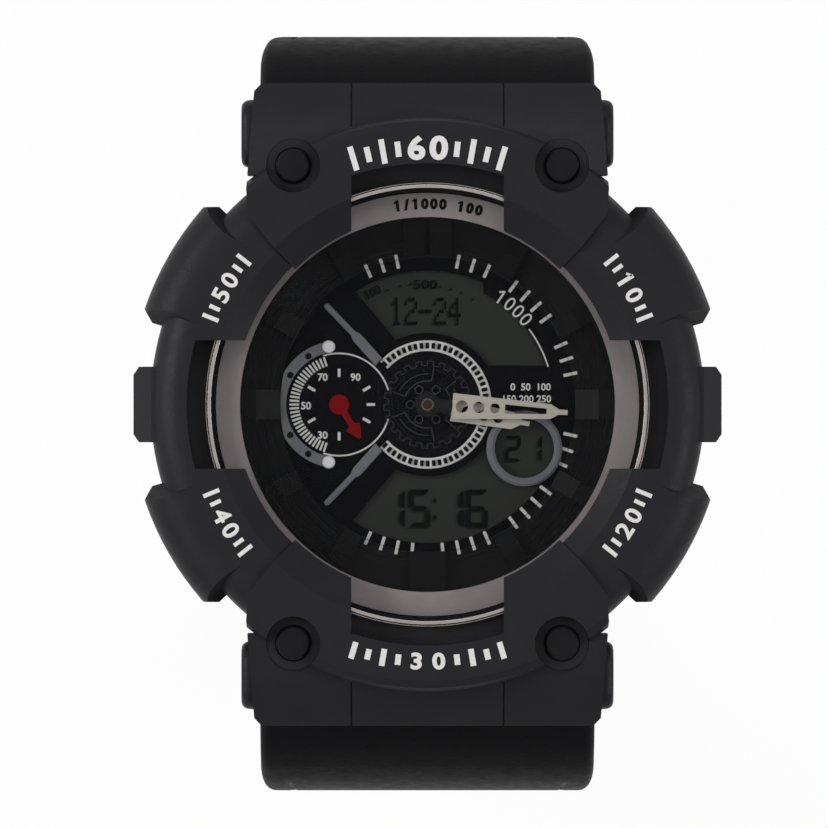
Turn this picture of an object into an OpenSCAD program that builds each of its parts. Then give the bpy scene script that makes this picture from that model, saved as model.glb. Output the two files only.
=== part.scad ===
// Sports watch with an analog dial over a liquid crystal display, four pushers and a two-piece strap.
// Origin: centre of the case back's outer face. +Z is the way the dial faces, +Y is 12 o'clock.

/* [Case] */
// Outer radius of the case body under the bezel
case_r = 20.4; // [20:0.1:21]
// Height of the case body's top face
case_top = 11.2; // [11:0.1:11.6]
// Thickness of the case back plate
back_th = 1.4; // [1.2:0.1:1.6]
// Radius of the case back plate
back_r = 17.6; // [17.2:0.1:18]
// Radius of the cavity that holds the module
cavity_r = 16.6; // [16.2:0.1:16.9]
// Radius of the circle that the case back screws stand on
screw_circle_r = 18.6; // [18.3:0.1:18.8]

/* [Crystal and rim] */
// Radius of the crystal
crystal_r = 18.6; // [18.2:0.1:18.6]
// Thickness of the crystal
crystal_th = 1.7; // [1.2:0.1:1.8]
// Radial thickness of the crystal gasket
crystal_gasket_th = 0.3; // [0.25:0.05:0.35]
// Radial thickness of the metal rim's upstand
rim_th = 0.4; // [0.3:0.05:0.5]
// Height of the rim above the crystal
rim_stand = 0.2; // [0.1:0.05:0.25]

/* [Bezel] */
// Outer radius of the bezel at its side sectors
bezel_r = 24.2; // [23.8:0.1:24.4]
// Outer radius of the raised sectors at 12 and 6 o'clock
raised_r = 25; // [24.8:0.1:25.4]
// Height of the raised sectors' top face
bezel_top = 15; // [14.6:0.1:15.4]
// Drop of the side sectors below the raised ones
side_drop = 0.5; // [0.3:0.1:0.8]
// Height of the bezel's lower edge
bezel_low = 1.8; // [1.7:0.1:2]
// Half width of the windows at 12 and 6 o'clock
window_half_top = 6.65; // [6:0.05:7]
// Half height of the windows at 3 and 9 o'clock
window_half_side = 5.6; // [5:0.05:6]
// Outer radius of the windows
window_r = 21; // [20.8:0.1:21.4]
// Distance from the dial centre to a side guard's end
guard_reach = 25.7; // [25.4:0.1:26]
// Half height of a side guard
guard_half = 3.3; // [3:0.1:3.6]
// How far the pusher hoods stand out from the bezel
hood_stand = 1.9; // [1.7:0.1:2.2]
// Half angle of a pusher hood
hood_half = 13.5; // [12:0.5:15]
// Distance from the dial centre to the end of a lug cover
lug_reach = 28.1; // [27.8:0.1:28.4]
// Half width of a lug cover at its end
lug_half = 15; // [14.8:0.1:15.2]
// Outer radius of the groove round a corner boss
boss_r = 2.36; // [2:0.05:2.5]

/* [Dial] */
// Height of the dial plate's upper face
dial_z = 7.5; // [7.4:0.05:7.6]
// Thickness of the dial plate
dial_th = 0.4; // [0.3:0.05:0.45]
// Radius of the visible dial
dial_r = 16.4; // [16.2:0.1:16.5]
// Inner radius of the chapter ring
chapter_in = 12.95; // [12.7:0.05:13.1]
// Height of the chapter ring's top above the dial
chapter_h = 2.4; // [2.3:0.05:2.45]
// Width of a plain hour block
block_w = 1.75; // [1.5:0.05:2]
// Distance of the small dial's centre to the left of the watch's centre
sub_off = 7.75; // [7.6:0.05:7.9]
// Radius of the small dial's disc
sub_r = 4.6; // [4.5:0.05:4.65]
// Outer radius of the small dial's crescent
crescent_r = 5.6; // [5.4:0.05:5.7]
// Inner radius of the segmented ring
segment_in = 4.7; // [4.65:0.05:4.8]
// Outer radius of the segmented ring
segment_out = 5.63; // [5.5:0.01:5.7]
// Position of the date ring, right of the centre
date_x = 8.5; // [8.3:0.05:8.6]
// Position of the date ring, below the centre
date_y = 3.85; // [3.8:0.05:4]
// Outer radius of the date ring
date_r = 3.33; // [3.2:0.01:3.4]

/* [Hands] */
// Length of the minute hand from its axis
minute_len = 12.3; // [11.8:0.1:12.6]
// Length of the hour hand from its axis
hour_len = 9.1; // [8.8:0.1:9.4]
// Length of the small hand from its axis
sub_len = 3.5; // [3.3:0.05:3.6]
// Thickness of the hands
hand_th = 0.2; // [0.15:0.01:0.22]
// Way that the minute hand points, in degrees clockwise from 12
minute_at = 93.3; // [0:0.1:360]
// Way that the hour hand points, in degrees clockwise from 12
hour_at = 100.8; // [0:0.1:360]
// Way that the small hand points, in degrees clockwise from 12
sub_at = 148; // [0:1:360]

/* [Motion work] */
// Module of the first gear pair
gear_m = 0.2; // [0.19:0.005:0.205]
// Thickness of the gears
gear_th = 0.45; // [0.4:0.05:0.5]
// Module of the motor gears
motor_m = 0.12; // [0.115:0.001:0.125]

/* [Pushers] */
// Angle of the pushers above and below the 3 to 9 line
push_at = 30; // [29:0.5:31]
// Radius of a pusher's stem
stem_r = 0.8; // [0.7:0.05:0.9]
// Travel of a pusher
push_travel = 1; // [0.8:0.1:1.1]
// Width of a pusher's head along the case
head_w = 8.4; // [7.6:0.2:8.8]
// Height of a pusher's head
head_h = 4; // [3.6:0.2:4.2]
// Height of the pushers' axes
push_z = 5.2; // [5.1:0.05:5.3]

/* [Strap] */
// Width of the strap beside the lug covers
strap_w = 29.5; // [29:0.1:29.6]
// Width of the strap at its narrow stretch
strap_narrow = 24; // [23:0.5:25]
// Thickness of the strap at the case
strap_th = 4.4; // [4.2:0.1:4.6]
// Thickness of the strap at its thin stretch
strap_thin = 3; // [2.6:0.1:3.2]
// Radius of the strap pins
pin_r = 0.9; // [0.8:0.05:1]
// Distance from the dial centre to a strap pin's axis
pin_y = 23.8; // [23.7:0.1:24]
// Height of a strap pin's axis
pin_z = 5.5; // [5.3:0.1:5.7]
// Radius of a strap hole
hole_r = 1.25; // [1.1:0.05:1.4]
// Distance between strap holes
hole_pitch = 5.5; // [5:0.1:5.5]
// Number of strap holes
hole_count = 6; // [4:1:6]

/* [Buckle and keeper] */
// Thickness of the buckle frame's bars
buckle_bar = 2.2; // [2:0.1:2.4]
// Length of the buckle frame from its pin to its far bar
buckle_len = 13; // [12:0.5:13.5]
// Radius of the buckle pin
buckle_pin_r = 0.7; // [0.6:0.05:0.8]
// Length of the keeper along the strap
keeper_len = 7; // [6:0.5:8]
// Wall of the keeper
keeper_wall = 1.3; // [1.1:0.1:1.5]

/* [Hidden] */
$fn = 72;

// Clearances
slip = 0.1;          // between parts that are put together by hand
run = 0.05;          // radial, of a pin or stem in its bore
over = 1;            // how far a cutting tool runs past a face

// Heights, from the case back up
back_top = back_th;
dial_low = dial_z - dial_th;
ring_low = dial_z + chapter_h;
ring_top = ring_low + 1;
crystal_low = ring_top;
crystal_top = crystal_low + crystal_th;
rim_top = crystal_top + rim_stand;
flange_th = 0.3;
flange_top = case_top + flange_th;
roof_z = rim_top + 0.15;
side_top = bezel_top - side_drop;
cover_low = pin_z + 3.1;

// Radii, from the crystal out
gasket_r = crystal_r + crystal_gasket_th;
rim_r = gasket_r + rim_th;
flange_r = rim_r + 0.7;
ring_in = dial_r;
bezel_in = case_r + slip;
hood_r = bezel_r + hood_stand;

// Inner sloped bands of the bezel
band_raised_in = 16.5;
band_raised_out = 19.1;
band_side_in = 16.85;
band_side_out = 18.7;

// Strap ends between the case lugs
lug_arm_out = strap_w / 2 + 0.05;
lug_arm_th = 1.75;
lug_arm_in = lug_arm_out - lug_arm_th;
centre_lug = 2.3;
knuckle_r = 2.4;
lug_arm_r = 2.6;

push_angles = [push_at, -push_at, 180 + push_at, 180 - push_at];

// Point at a distance and an angle from +X
function polar(r, a) = [r * cos(a), r * sin(a)];

// Turns a dial angle, clockwise from 12, into an angle from +X
function dial_angle(a) = 90 - a;

// Flat ring between two radii
module ring(r_in, r_out, h) {
  difference() {
    cylinder(r = r_out, h = h);
    translate([0, 0, -over]) cylinder(r = r_in, h = h + 2 * over);
  }
}

// Flat wedge from the centre, between two angles from +X that are less than 170 degrees apart
module wedge(a0, a1, r) {
  far = r / cos((a1 - a0) / 4);
  polygon([[0, 0], polar(far, a0), polar(far, (a0 + a1) / 2), polar(far, a1)]);
}

// Copies its children to both sides of the YZ plane
module both_x() {
  children();
  mirror([1, 0, 0]) children();
}

// Copies its children to 12 and 6 o'clock
module both_y() {
  children();
  mirror([0, 1, 0]) children();
}

// Runs a profile drawn in Y and Z along X, from -w/2 to w/2
module along_x(w) {
  rotate([90, 0, 90]) translate([0, 0, -w / 2]) linear_extrude(height = w) children();
}

// Places its children at one pusher: local +X is outwards along the stem
module at_pusher(a) {
  rotate([0, 0, a]) translate([0, 0, push_z]) children();
}

// Cylinder along +X from x0 to x1
module rod_x(r, x0, x1) {
  translate([x0, 0, 0]) rotate([0, 90, 0]) cylinder(r = r, h = x1 - x0);
}

// Case back screws
screw_r = 0.6;
screw_head_r = 1.2;
screw_head_h = 0.6;
screw_len = 5;
ear_r = 1.7;

module at_back_screws() {
  for (a = [45:90:315]) translate(concat(polar(screw_circle_r, a), [0])) children();
}

// Pusher stem, its seat and its spring, as distances from the dial centre
seal_from = 17.4;
seal_to = 18.2;
spring_seat = 18.9;
spring_seat_r = 1.6;
head_rest = 1.2;
head_back = bezel_in + push_travel + head_rest;
head_face = hood_r + 0.1;
clip_at = cavity_r - 0.5;
clip_th = 0.3;
spring_wire = 0.22;
spring_r = 1.25;
spring_turns = 5;

module lug_profile(r) {
  translate([pin_y, pin_z]) circle(r = r);
  translate([pin_y - 7, pin_z - r]) square([7, 2 * r]);
}

module case_body() {
  color("dimgray")
  difference() {
    union() {
      translate([0, 0, back_top]) cylinder(r = case_r, h = case_top - back_top);
      both_y() {
        both_x()
          translate([(lug_arm_in + lug_arm_out) / 2, 0, 0])
          along_x(lug_arm_th)
          difference() {
            union() {
              lug_profile(lug_arm_r);
              translate([13, pin_z - lug_arm_r]) square([6, 2 * lug_arm_r]);
            }
            translate([pin_y, pin_z]) circle(r = pin_r + run);
          }
        along_x(2 * centre_lug)
        difference() {
          lug_profile(knuckle_r);
          translate([pin_y, pin_z]) circle(r = pin_r + run);
        }
      }
    }
    // Cavity for the module, and seats for the dial ring, the gasket and the crystal
    translate([0, 0, -over]) cylinder(r = cavity_r, h = case_top + 2 * over);
    translate([0, 0, ring_low]) cylinder(r = crystal_r, h = case_top);
    translate([0, 0, gasket_low]) cylinder(r = gasket_r, h = case_top);
    translate([0, 0, back_top - over]) ring(groove_in, groove_out, groove_h + over);
    at_back_screws() cylinder(r = screw_r, h = back_top + screw_len - screw_head_h);
    for (a = push_angles) at_pusher(a) {
      rod_x(stem_r + run, cavity_r - 3, case_r + over);
      rod_x(seal_bore_r, seal_from, seal_to);
      rod_x(spring_seat_r, spring_seat, case_r + over);
    }
  }
}

gasket_low = ring_top - 0.5;
groove_in = cavity_r + 0.25;
groove_out = groove_in + 0.5;
groove_h = 0.5;
seal_bore_r = stem_r + run + 0.4;

module case_back() {
  color("silver")
  difference() {
    union() {
      cylinder(r1 = back_r - 0.4, r2 = back_r, h = 0.4);
      translate([0, 0, 0.4]) cylinder(r = back_r, h = back_th - 0.4);
      at_back_screws() cylinder(r = ear_r, h = back_th);
    }
    at_back_screws() {
      translate([0, 0, -over]) cylinder(r = screw_r + slip, h = back_th + 2 * over);
      translate([0, 0, -over]) cylinder(r = screw_head_r + slip, h = screw_head_h + 0.2 + over);
    }
    // Turned step round the plate's face
    translate([0, 0, -over]) ring(back_r - 3.2, back_r - 2.8, over + 0.15);
  }
}

module case_back_gasket() {
  color("black")
  translate([0, 0, back_top]) ring(groove_in, groove_out, groove_h);
}

module case_back_screws() {
  color("lightgray")
  at_back_screws() {
    translate([0, 0, 0.2]) difference() {
      cylinder(r = screw_head_r, h = screw_head_h);
      translate([-0.15, -screw_head_r - over, -over]) cube([0.3, 2 * screw_head_r + 2 * over, over + 0.3]);
    }
    translate([0, 0, 0.2 + screw_head_h]) cylinder(r = screw_r, h = screw_len - 2 * screw_head_h);
  }
}

module crystal() {
  color("lightsteelblue", 0.4)
  translate([0, 0, crystal_low]) {
    cylinder(r = crystal_r, h = crystal_th - 0.25);
    translate([0, 0, crystal_th - 0.25]) cylinder(r1 = crystal_r, r2 = crystal_r - 0.25, h = 0.25);
  }
}

module crystal_gasket() {
  color("black")
  translate([0, 0, gasket_low]) ring(crystal_r, gasket_r, crystal_top - 0.3 - gasket_low);
}

module rim_ring() {
  color("silver")
  rotate_extrude() polygon([
    [gasket_r, case_top], [flange_r, case_top], [flange_r, flange_top],
    [rim_r, flange_top], [rim_r, rim_top - 0.1], [rim_r - 0.1, rim_top], [gasket_r, rim_top]
  ]);
}

module dial_ring() {
  color("silver")
  translate([0, 0, ring_low]) ring(ring_in, crystal_r - slip, ring_top - ring_low);
}

// Bezel: one moulded shell. Side sectors, raised sectors with lug covers, side guards and hoods.
seam_x = 13.4;
seam_y = 13.7;
waist_x = 15.6;
waist_y = 16.5;
shoulder_x = 15.8;
shoulder_y = 18.8;
boss_x = 11.7;
boss_y = 20.8;
boss_floor = 13.2;
boss_plug_r = 1.5;
boss_plug_h = 1;
cover_end_top = 11;
cover_root_y = 20;
cover_root_top = 14.1;
cover_mid = [cover_root_y + 4.2, cover_root_top - 0.9];
seam_w = 0.16;
shoulder_steps = 6;
side_round_w = 3;
side_round_h = 2.6;
window_floor = flange_top + 0.4;
hood_low = push_z + head_h / 2 + 0.3;
slot_low = push_z - head_h / 2 - 0.3;
slot_w = head_w + 0.6;
hood_top = side_top;
hood_round_w = 3.8;
hood_round_h = 3.4;
hood_end_w = 2.2;
hood_end_drop = 3.6;

module bezel_inside(top, band_out, band_in) {
  // Points of the inner side, from the top face down to the lower edge
  polygon([
    [band_out, top], [band_in, roof_z + 0.15], [band_in, roof_z], [rim_r + slip, roof_z],
    [rim_r + slip, flange_top], [flange_r + slip, flange_top], [flange_r + slip, case_top],
    [bezel_in, case_top], [bezel_in, bezel_low - over], [0, bezel_low - over], [0, top + over],
    [band_out, top + over]
  ]);
}

// Points of a rounded shoulder, from an upright side at radius r to a level top
function shoulder(r, top, wide, deep) =
  [for (i = [0:shoulder_steps]) let (a = 90 * i / shoulder_steps)
    [r - wide * (1 - cos(a)), top - deep * (1 - sin(a))]];

module side_profile() {
  difference() {
    polygon(concat(
      [[0, bezel_low], [bezel_r - 0.6, bezel_low], [bezel_r, bezel_low + 0.8]],
      shoulder(bezel_r, side_top, side_round_w, side_round_h),
      [[0, side_top]]
    ));
    bezel_inside(side_top, band_side_out, band_side_in);
  }
}

module raised_profile() {
  difference() {
    polygon([
      [0, cover_low], [raised_r, cover_low], [raised_r, bezel_top - 1.1],
      [raised_r - 0.3, bezel_top - 0.4], [raised_r - 0.9, bezel_top], [0, bezel_top]
    ]);
    bezel_inside(bezel_top, band_raised_out, band_raised_in);
  }
}

// Outline of a raised sector with its lug cover, seen from the front
module raised_outline() {
  polygon([
    [0, 0], [seam_x, seam_y], [waist_x, waist_y], [shoulder_x, shoulder_y],
    [lug_half + 0.15, lug_reach - 0.7], [lug_half - 0.5, lug_reach], [-lug_half + 0.5, lug_reach],
    [-lug_half - 0.15, lug_reach - 0.7], [-shoulder_x, shoulder_y], [-waist_x, waist_y], [-seam_x, seam_y]
  ]);
}

// Side view of a lug cover, in Y and Z
module cover_profile() {
  polygon([
    [cover_root_y, cover_low], [lug_reach - 0.3, cover_low], [lug_reach, cover_low + 0.4],
    [lug_reach, cover_end_top - 0.5], [lug_reach - 0.5, cover_end_top],
    cover_mid, [cover_root_y, cover_root_top]
  ]);
}

// Groove down a lug cover, in Y and Z
module cover_seam_profile() {
  deep = 0.25;
  polygon([
    [cover_mid[0], cover_mid[1] - deep], [lug_reach - 0.5 - deep, cover_end_top - deep],
    [lug_reach - deep, cover_end_top - 0.5 - deep], [lug_reach - deep, cover_low - over],
    [lug_reach + over, cover_low - over], [lug_reach + over, cover_root_top + over],
    [cover_mid[0], cover_root_top + over]
  ]);
}

module hood_profile() {
  polygon(concat(
    [[bezel_in, bezel_low], [hood_r - 0.9, bezel_low], [hood_r - 0.3, bezel_low + 0.6]],
    shoulder(hood_r, hood_top, hood_round_w, hood_round_h),
    [[bezel_in, hood_top]]
  ));
}

// Hood over one pusher, whose ends slope down
module hood(a) {
  w = hood_r * sin(hood_half) + slip;
  intersection() {
    linear_extrude(height = bezel_top) wedge(a - hood_half, a + hood_half, hood_r + 2);
    rotate_extrude() hood_profile();
    rotate([0, 0, a]) translate([hood_r - 5, 0, 0]) along_x(14) polygon([
      [-w, 0], [w, 0], [w, hood_top - hood_end_drop], [w - hood_end_w, hood_top + 0.1],
      [hood_end_w - w, hood_top + 0.1], [-w, hood_top - hood_end_drop]
    ]);
  }
}

module guard() {
  intersection() {
    linear_extrude(height = bezel_top)
    polygon([
      [bezel_r - 2.5, -guard_half], [guard_reach - 0.5, -guard_half],
      [guard_reach, -guard_half + 0.7], [guard_reach, guard_half - 0.7],
      [guard_reach - 0.5, guard_half], [bezel_r - 2.5, guard_half]
    ]);
    rotate([90, 0, 0]) translate([0, 0, -guard_half - over])
    linear_extrude(height = 2 * guard_half + 2 * over)
    polygon([
      [bezel_r - 2.5, bezel_low + 1.5], [guard_reach - 1, bezel_low + 1.5], [guard_reach, bezel_low + 2.5],
      [guard_reach, side_top - 3.4], [guard_reach - 1.6, side_top - 1.4], [bezel_r - 2.5, side_top - 0.9]
    ]);
  }
}

module bezel() {
  color("dimgray")
  difference() {
    union() {
      rotate_extrude() side_profile();
      both_y() {
        intersection() {
          linear_extrude(height = bezel_top + over) raised_outline();
          rotate_extrude() raised_profile();
        }
        difference() {
          intersection() {
            linear_extrude(height = bezel_top + over) raised_outline();
            along_x(2 * shoulder_x + 2) cover_profile();
          }
          translate([0, 0, -over]) cylinder(r = bezel_in, h = bezel_top + 2 * over);
        }
      }
      both_x() guard();
      for (a = push_angles) hood(a);
    }
    // Room for the lugs and the strap ends
    both_y() translate([-lug_arm_out - slip, 12, -over])
      cube([2 * lug_arm_out + 2 * slip, 20, cover_low + over]);
    // Windows over the rim
    intersection() {
      translate([0, 0, window_floor]) cylinder(r = window_r, h = bezel_top);
      union() {
        translate([-window_half_top, -window_r - over, 0])
          cube([2 * window_half_top, 2 * window_r + 2 * over, bezel_top + over]);
        translate([-window_r - over, -window_half_side, 0])
          cube([2 * window_r + 2 * over, 2 * window_half_side, bezel_top + over]);
      }
    }
    // Pusher slots
    for (a = push_angles) at_pusher(a)
      translate([bezel_in - over, -slot_w / 2, slot_low - push_z])
      cube([hood_r, slot_w, hood_low - slot_low]);
    // Corner recesses
    both_x() both_y() translate([boss_x, boss_y, boss_floor]) cylinder(r = boss_r, h = bezel_top);
    // Moulded seams down the lug covers
    both_y() both_x() translate([window_half_top, 0, 0]) along_x(seam_w) cover_seam_profile();
  }
}

module bezel_corner_plugs() {
  color("gray")
  both_x() both_y() translate([boss_x, boss_y, boss_floor]) {
    cylinder(r = boss_plug_r, h = boss_plug_h - 0.2);
    translate([0, 0, boss_plug_h - 0.2]) cylinder(r1 = boss_plug_r, r2 = boss_plug_r - 0.2, h = 0.2);
  }
}

// Strap pins: a tube with its caps seated on the lugs
cap_th = 1.5;
cap_half = 3;

module strap_pins() {
  color("silver")
  both_y() translate([0, pin_y, pin_z]) rod_x(pin_r, -lug_arm_out - cap_th + 0.4, lug_arm_out + cap_th - 0.4);
}

module strap_pin_caps() {
  color("gray")
  both_y() both_x() difference() {
    translate([lug_arm_out, pin_y, pin_z]) rotate([90, 0, 90]) {
      linear_extrude(height = cap_th - 0.4) cap_outline(0);
      translate([0, 0, cap_th - 0.4]) linear_extrude(height = 0.4) cap_outline(0.35);
    }
    translate([0, pin_y, pin_z]) rod_x(pin_r, lug_arm_out - over, lug_arm_out + cap_th - 0.4);
  }
}

module cap_outline(inset) {
  square([2 * cap_half - 3 - inset, 3.8 - 2 * inset], center = true);
  for (s = [-1, 1]) translate([s * (cap_half - 1.9), 0]) circle(r = 1.9 - inset);
}

// Dial
lcd_r = 14;
lcd_th = 1;
post_hole_r = 1;

lcd_in = 6.3;
lcd_out = 12.15;
lcd_arc = 10.95;
lcd_rim = 11.75;

// Openings of the dial over the liquid crystal display, drawn at 12 o'clock
module upper_window() {
  difference() {
    intersection() {
      union() {
        circle(r = lcd_arc);
        intersection() {
          circle(r = lcd_rim);
          translate([-8, 0]) square([12.9, 12]);
        }
      }
      translate([-6.8, 3.4]) square([17.6, 8.6]);
    }
    circle(r = lcd_in);
    window_diagonal();
  }
}

module lower_window() {
  difference() {
    intersection() {
      circle(r = lcd_out);
      polygon([[-7.4, 0], [-7.4, 12.2], [11, 12.2], [11, 5], [2, 1.2], [0, 0]]);
    }
    circle(r = lcd_in);
    window_diagonal();
  }
}

// Corner of the dial that stays beside an arm
module window_diagonal() {
  polygon([[-8, 3], [-2.4, 3], [-2.4, 5.2], [-6.8, 10.5], [-8, 10.5]]);
}

module lcd_cut() {
  upper_window();
  mirror([0, 1]) lower_window();
  translate([date_x, -date_y]) circle(r = date_r - 0.8);
}

module dial_plate() {
  color("black")
  translate([0, 0, dial_low]) difference() {
    cylinder(r = cavity_r - slip, h = dial_th);
    translate([0, 0, -over]) linear_extrude(height = dial_th + 2 * over) lcd_cut();
    translate([0, 0, -over]) cylinder(r = post_hole_r, h = dial_th + 2 * over);
    translate([-sub_off, 0, -over]) cylinder(r = sub_post_r + slip, h = dial_th + 2 * over);
  }
}

module lcd_panel() {
  color("darkolivegreen")
  translate([0, 0, dial_low - lcd_th]) difference() {
    cylinder(r = lcd_r, h = lcd_th);
    translate([0, 0, -over]) cylinder(r = post_hole_r, h = lcd_th + 2 * over);
    translate([-sub_off, 0, -over]) cylinder(r = sub_post_r + 0.2, h = lcd_th + 2 * over);
  }
}

// Chapter ring: stepped ribs between hour blocks
rib_count = 5;
pair_block = 1.95;
pair_gap = 0.4;
low_block = 3.3;
side_block = 2.6;
smooth_arcs = [[30, 150], [240, 300]];
step_r = (ring_in - 0.1 - chapter_in) / rib_count;

// Steps that rise from the dial to the dial ring
module chapter_profile() {
  rise = (ring_low - dial_z - 0.9) / rib_count;
  polygon(concat(
    [[chapter_in, 0]],
    [for (i = [0:rib_count - 1]) each [
      [chapter_in + i * step_r + 0.05, 0.2 + i * rise],
      [chapter_in + i * step_r + 0.12, 0.2 + (i + 1) * rise],
      [chapter_in + (i + 1) * step_r - 0.1, 0.2 + (i + 1) * rise]
    ]],
    [[ring_in - 0.1, ring_low - dial_z], [cavity_r - slip, ring_low - dial_z], [cavity_r - slip, 0]]
  ));
}

// Smooth slope that covers all steps but the lowest
module chapter_slope() {
  low_r = chapter_in + step_r;
  polygon([[low_r, 0.3], [low_r, 0.6], [ring_in - 0.05, chapter_h - 0.2], [ring_in - 0.05, 0.3]]);
}

function block_width(hour) =
  hour == 0 ? pair_block : hour == 6 ? low_block : hour % 3 == 0 ? side_block : block_w;
function block_places(hour) = hour == 0 ? [-(pair_block + pair_gap) / 2, (pair_block + pair_gap) / 2] : [0];

module chapter_ring() {
  color("dimgray")
  translate([0, 0, dial_z]) {
    rotate_extrude() chapter_profile();
    for (arc = smooth_arcs) intersection() {
      rotate_extrude() chapter_slope();
      linear_extrude(height = chapter_h) wedge(arc[0], arc[1], cavity_r);
    }
    intersection() {
      ring(chapter_in, ring_in, ring_low - dial_z - 0.1);
      for (hour = [0:11], place = block_places(hour)) rotate([0, 0, dial_angle(30 * hour)])
        rotate([90, 0, 0]) translate([0, 0, place - block_width(hour) / 2])
        linear_extrude(height = block_width(hour))
        polygon([
          [chapter_in - over, 0], [chapter_in - over, 1], [chapter_in, 1], [ring_in - 1.4, chapter_h - 0.2],
          [ring_in + over, chapter_h - 0.1], [ring_in + over, 0]
        ]);
    }
  }
}

// Small dial, central disc and their rings
disc_th = 0.15;
relief_th = 0.25;
crescent_in = sub_r + 0.05;
crescent_th = 0.45;
crescent_end = 99.8;
stud_r = 0.5;
ring_gap = 42;
cell_angle = 5.75;
gear_disc_r = segment_in - 0.08;

module subdial_disc() {
  color("black")
  translate([0, 0, dial_z]) difference() {
    translate([-sub_off, 0, 0]) cylinder(r = sub_r, h = disc_th);
    translate([0, 0, -over]) cylinder(r = segment_in - 0.03, h = disc_th + 2 * over);
    translate([-sub_off, 0, -over]) cylinder(r = sub_post_r + run, h = disc_th + 2 * over);
  }
}

module crescent_outline() {
  mid = (crescent_r + crescent_in) / 2;
  intersection() {
    union() {
      intersection() {
        difference() {
          circle(r = crescent_r);
          circle(r = crescent_in);
        }
        wedge(crescent_end, 180, 2 * crescent_r);
      }
      translate(polar(mid, crescent_end)) circle(r = (crescent_r - crescent_in) / 2);
    }
    translate([sub_off, 0]) circle(r = chapter_in - 0.05);
  }
}

module subdial_crescent() {
  mid = (crescent_r + crescent_in) / 2;
  color("silver")
  translate([-sub_off, 0, dial_z]) both_y() {
    linear_extrude(height = crescent_th) crescent_outline();
    translate(concat(polar(mid, crescent_end), [crescent_th - 0.05]))
      cylinder(r1 = stud_r, r2 = stud_r - 0.12, h = 0.25);
  }
}

module center_gear_disc() {
  color("black")
  translate([0, 0, dial_z]) difference() {
    union() {
      cylinder(r = gear_disc_r, h = disc_th);
      difference() {
        linear_extrude(height = relief_th) gear_outline(40, 0.19, 0);
        translate([0, 0, -over]) cylinder(r = 3.1, h = relief_th + 2 * over);
      }
      linear_extrude(height = relief_th) gear_outline(18, 0.24, 0);
    }
    for (a = [0:60:300]) translate(concat(polar(1.5, a), [-over]))
      cylinder(r = 0.29, h = relief_th + 2 * over);
    translate([0, 0, -over]) cylinder(r = post_hole_r, h = relief_th + 2 * over);
  }
}

module segment_ring() {
  cell_count = floor((360 - 2 * ring_gap) / cell_angle / 2);
  start = -180 + ring_gap;
  color("white")
  translate([0, 0, dial_z]) {
    difference() {
      ring(segment_in, segment_out, disc_th);
      translate([0, 0, -over]) linear_extrude(height = disc_th + 2 * over)
        wedge(180 - ring_gap, 180 + ring_gap, 3 * segment_out);
    }
    intersection() {
      ring(segment_in + 0.08, segment_out - 0.08, relief_th);
      linear_extrude(height = relief_th) for (i = [0:cell_count - 1])
        wedge(start + (2 * i + 0.6) * cell_angle, start + (2 * i + 1.5) * cell_angle, segment_out + over);
    }
  }
}

// Straight bar with round ends between two points
module bar(p, q, w) {
  d = q - p;
  translate(p) rotate([0, 0, atan2(d[1], d[0])]) {
    translate([0, -w / 2]) square([norm(d), w]);
    circle(r = w / 2);
    translate([norm(d), 0]) circle(r = w / 2);
  }
}

arm_root = [-3.8, 3.2];
arm_knee = [-6.2, 5.9];
arm_tip = [-8.8, 8.6];

module caliper_arms() {
  color("silver")
  translate([0, 0, dial_z]) both_y() linear_extrude(height = crescent_th) difference() {
    union() {
      bar(arm_root, arm_knee, 0.9);
      bar(arm_knee, arm_tip, 0.52);
    }
    circle(r = segment_out + 0.05);
  }
}

module date_ring() {
  color("silver")
  translate([date_x, -date_y, dial_z]) {
    ring(date_r - 0.73, date_r, relief_th);
    ring(date_r - 0.55, date_r - 0.15, relief_th + 0.1);
  }
}

// Hands. Each outline points along +X, and its axis is at the origin.
sub_post_r = 0.3;
shaft_r = 0.3;
tube_r = 0.65;
sub_hand_z = dial_z + 0.3;
hour_z = dial_z + 0.75;
minute_z = dial_z + 1.3;
hand_root = 2.2;

module hand_outline(len, root_w, end_w, end_len, tip_w, hub_r, hole_xs, hole_rs, slot_from) {
  slot_to = len - end_len - 0.35;
  difference() {
    union() {
      circle(r = hub_r);
      translate([0, -0.5]) square([hand_root + 0.1, 1]);
      polygon([
        [hand_root, -root_w / 2], [len - end_len, -end_w / 2], [len - end_len / 2, -tip_w / 2],
        [len, -tip_w / 2], [len, tip_w / 2], [len - end_len / 2, tip_w / 2],
        [len - end_len, end_w / 2], [hand_root, root_w / 2]
      ]);
    }
    for (i = [0:len(hole_xs) - 1]) translate([hole_xs[i], 0]) circle(r = hole_rs[i]);
    if (slot_to > slot_from)
      polygon([[slot_from, -0.4], [slot_to, -0.24], [slot_to, 0.24], [slot_from, 0.4]]);
  }
}

module minute_hand() {
  color("beige")
  rotate([0, 0, dial_angle(minute_at)]) translate([0, 0, minute_z]) difference() {
    linear_extrude(height = hand_th)
      hand_outline(minute_len, 2.28, 1.3, 1.5, 0.44, 0.85, [3.02, 4.51, 5.91], [0.54, 0.5, 0.44], 6.8);
    translate([0, 0, -over]) cylinder(r = shaft_r, h = hand_th + 2 * over);
  }
}

module hour_hand() {
  color("beige")
  rotate([0, 0, dial_angle(hour_at)]) translate([0, 0, hour_z]) difference() {
    linear_extrude(height = hand_th)
      hand_outline(hour_len, 2.1, 1.5, 1.5, 0.44, 1.1, [3.6, 5, 6.3], [0.54, 0.5, 0.44], hour_len);
    translate([0, 0, -over]) cylinder(r = tube_r, h = hand_th + 2 * over);
  }
}

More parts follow.
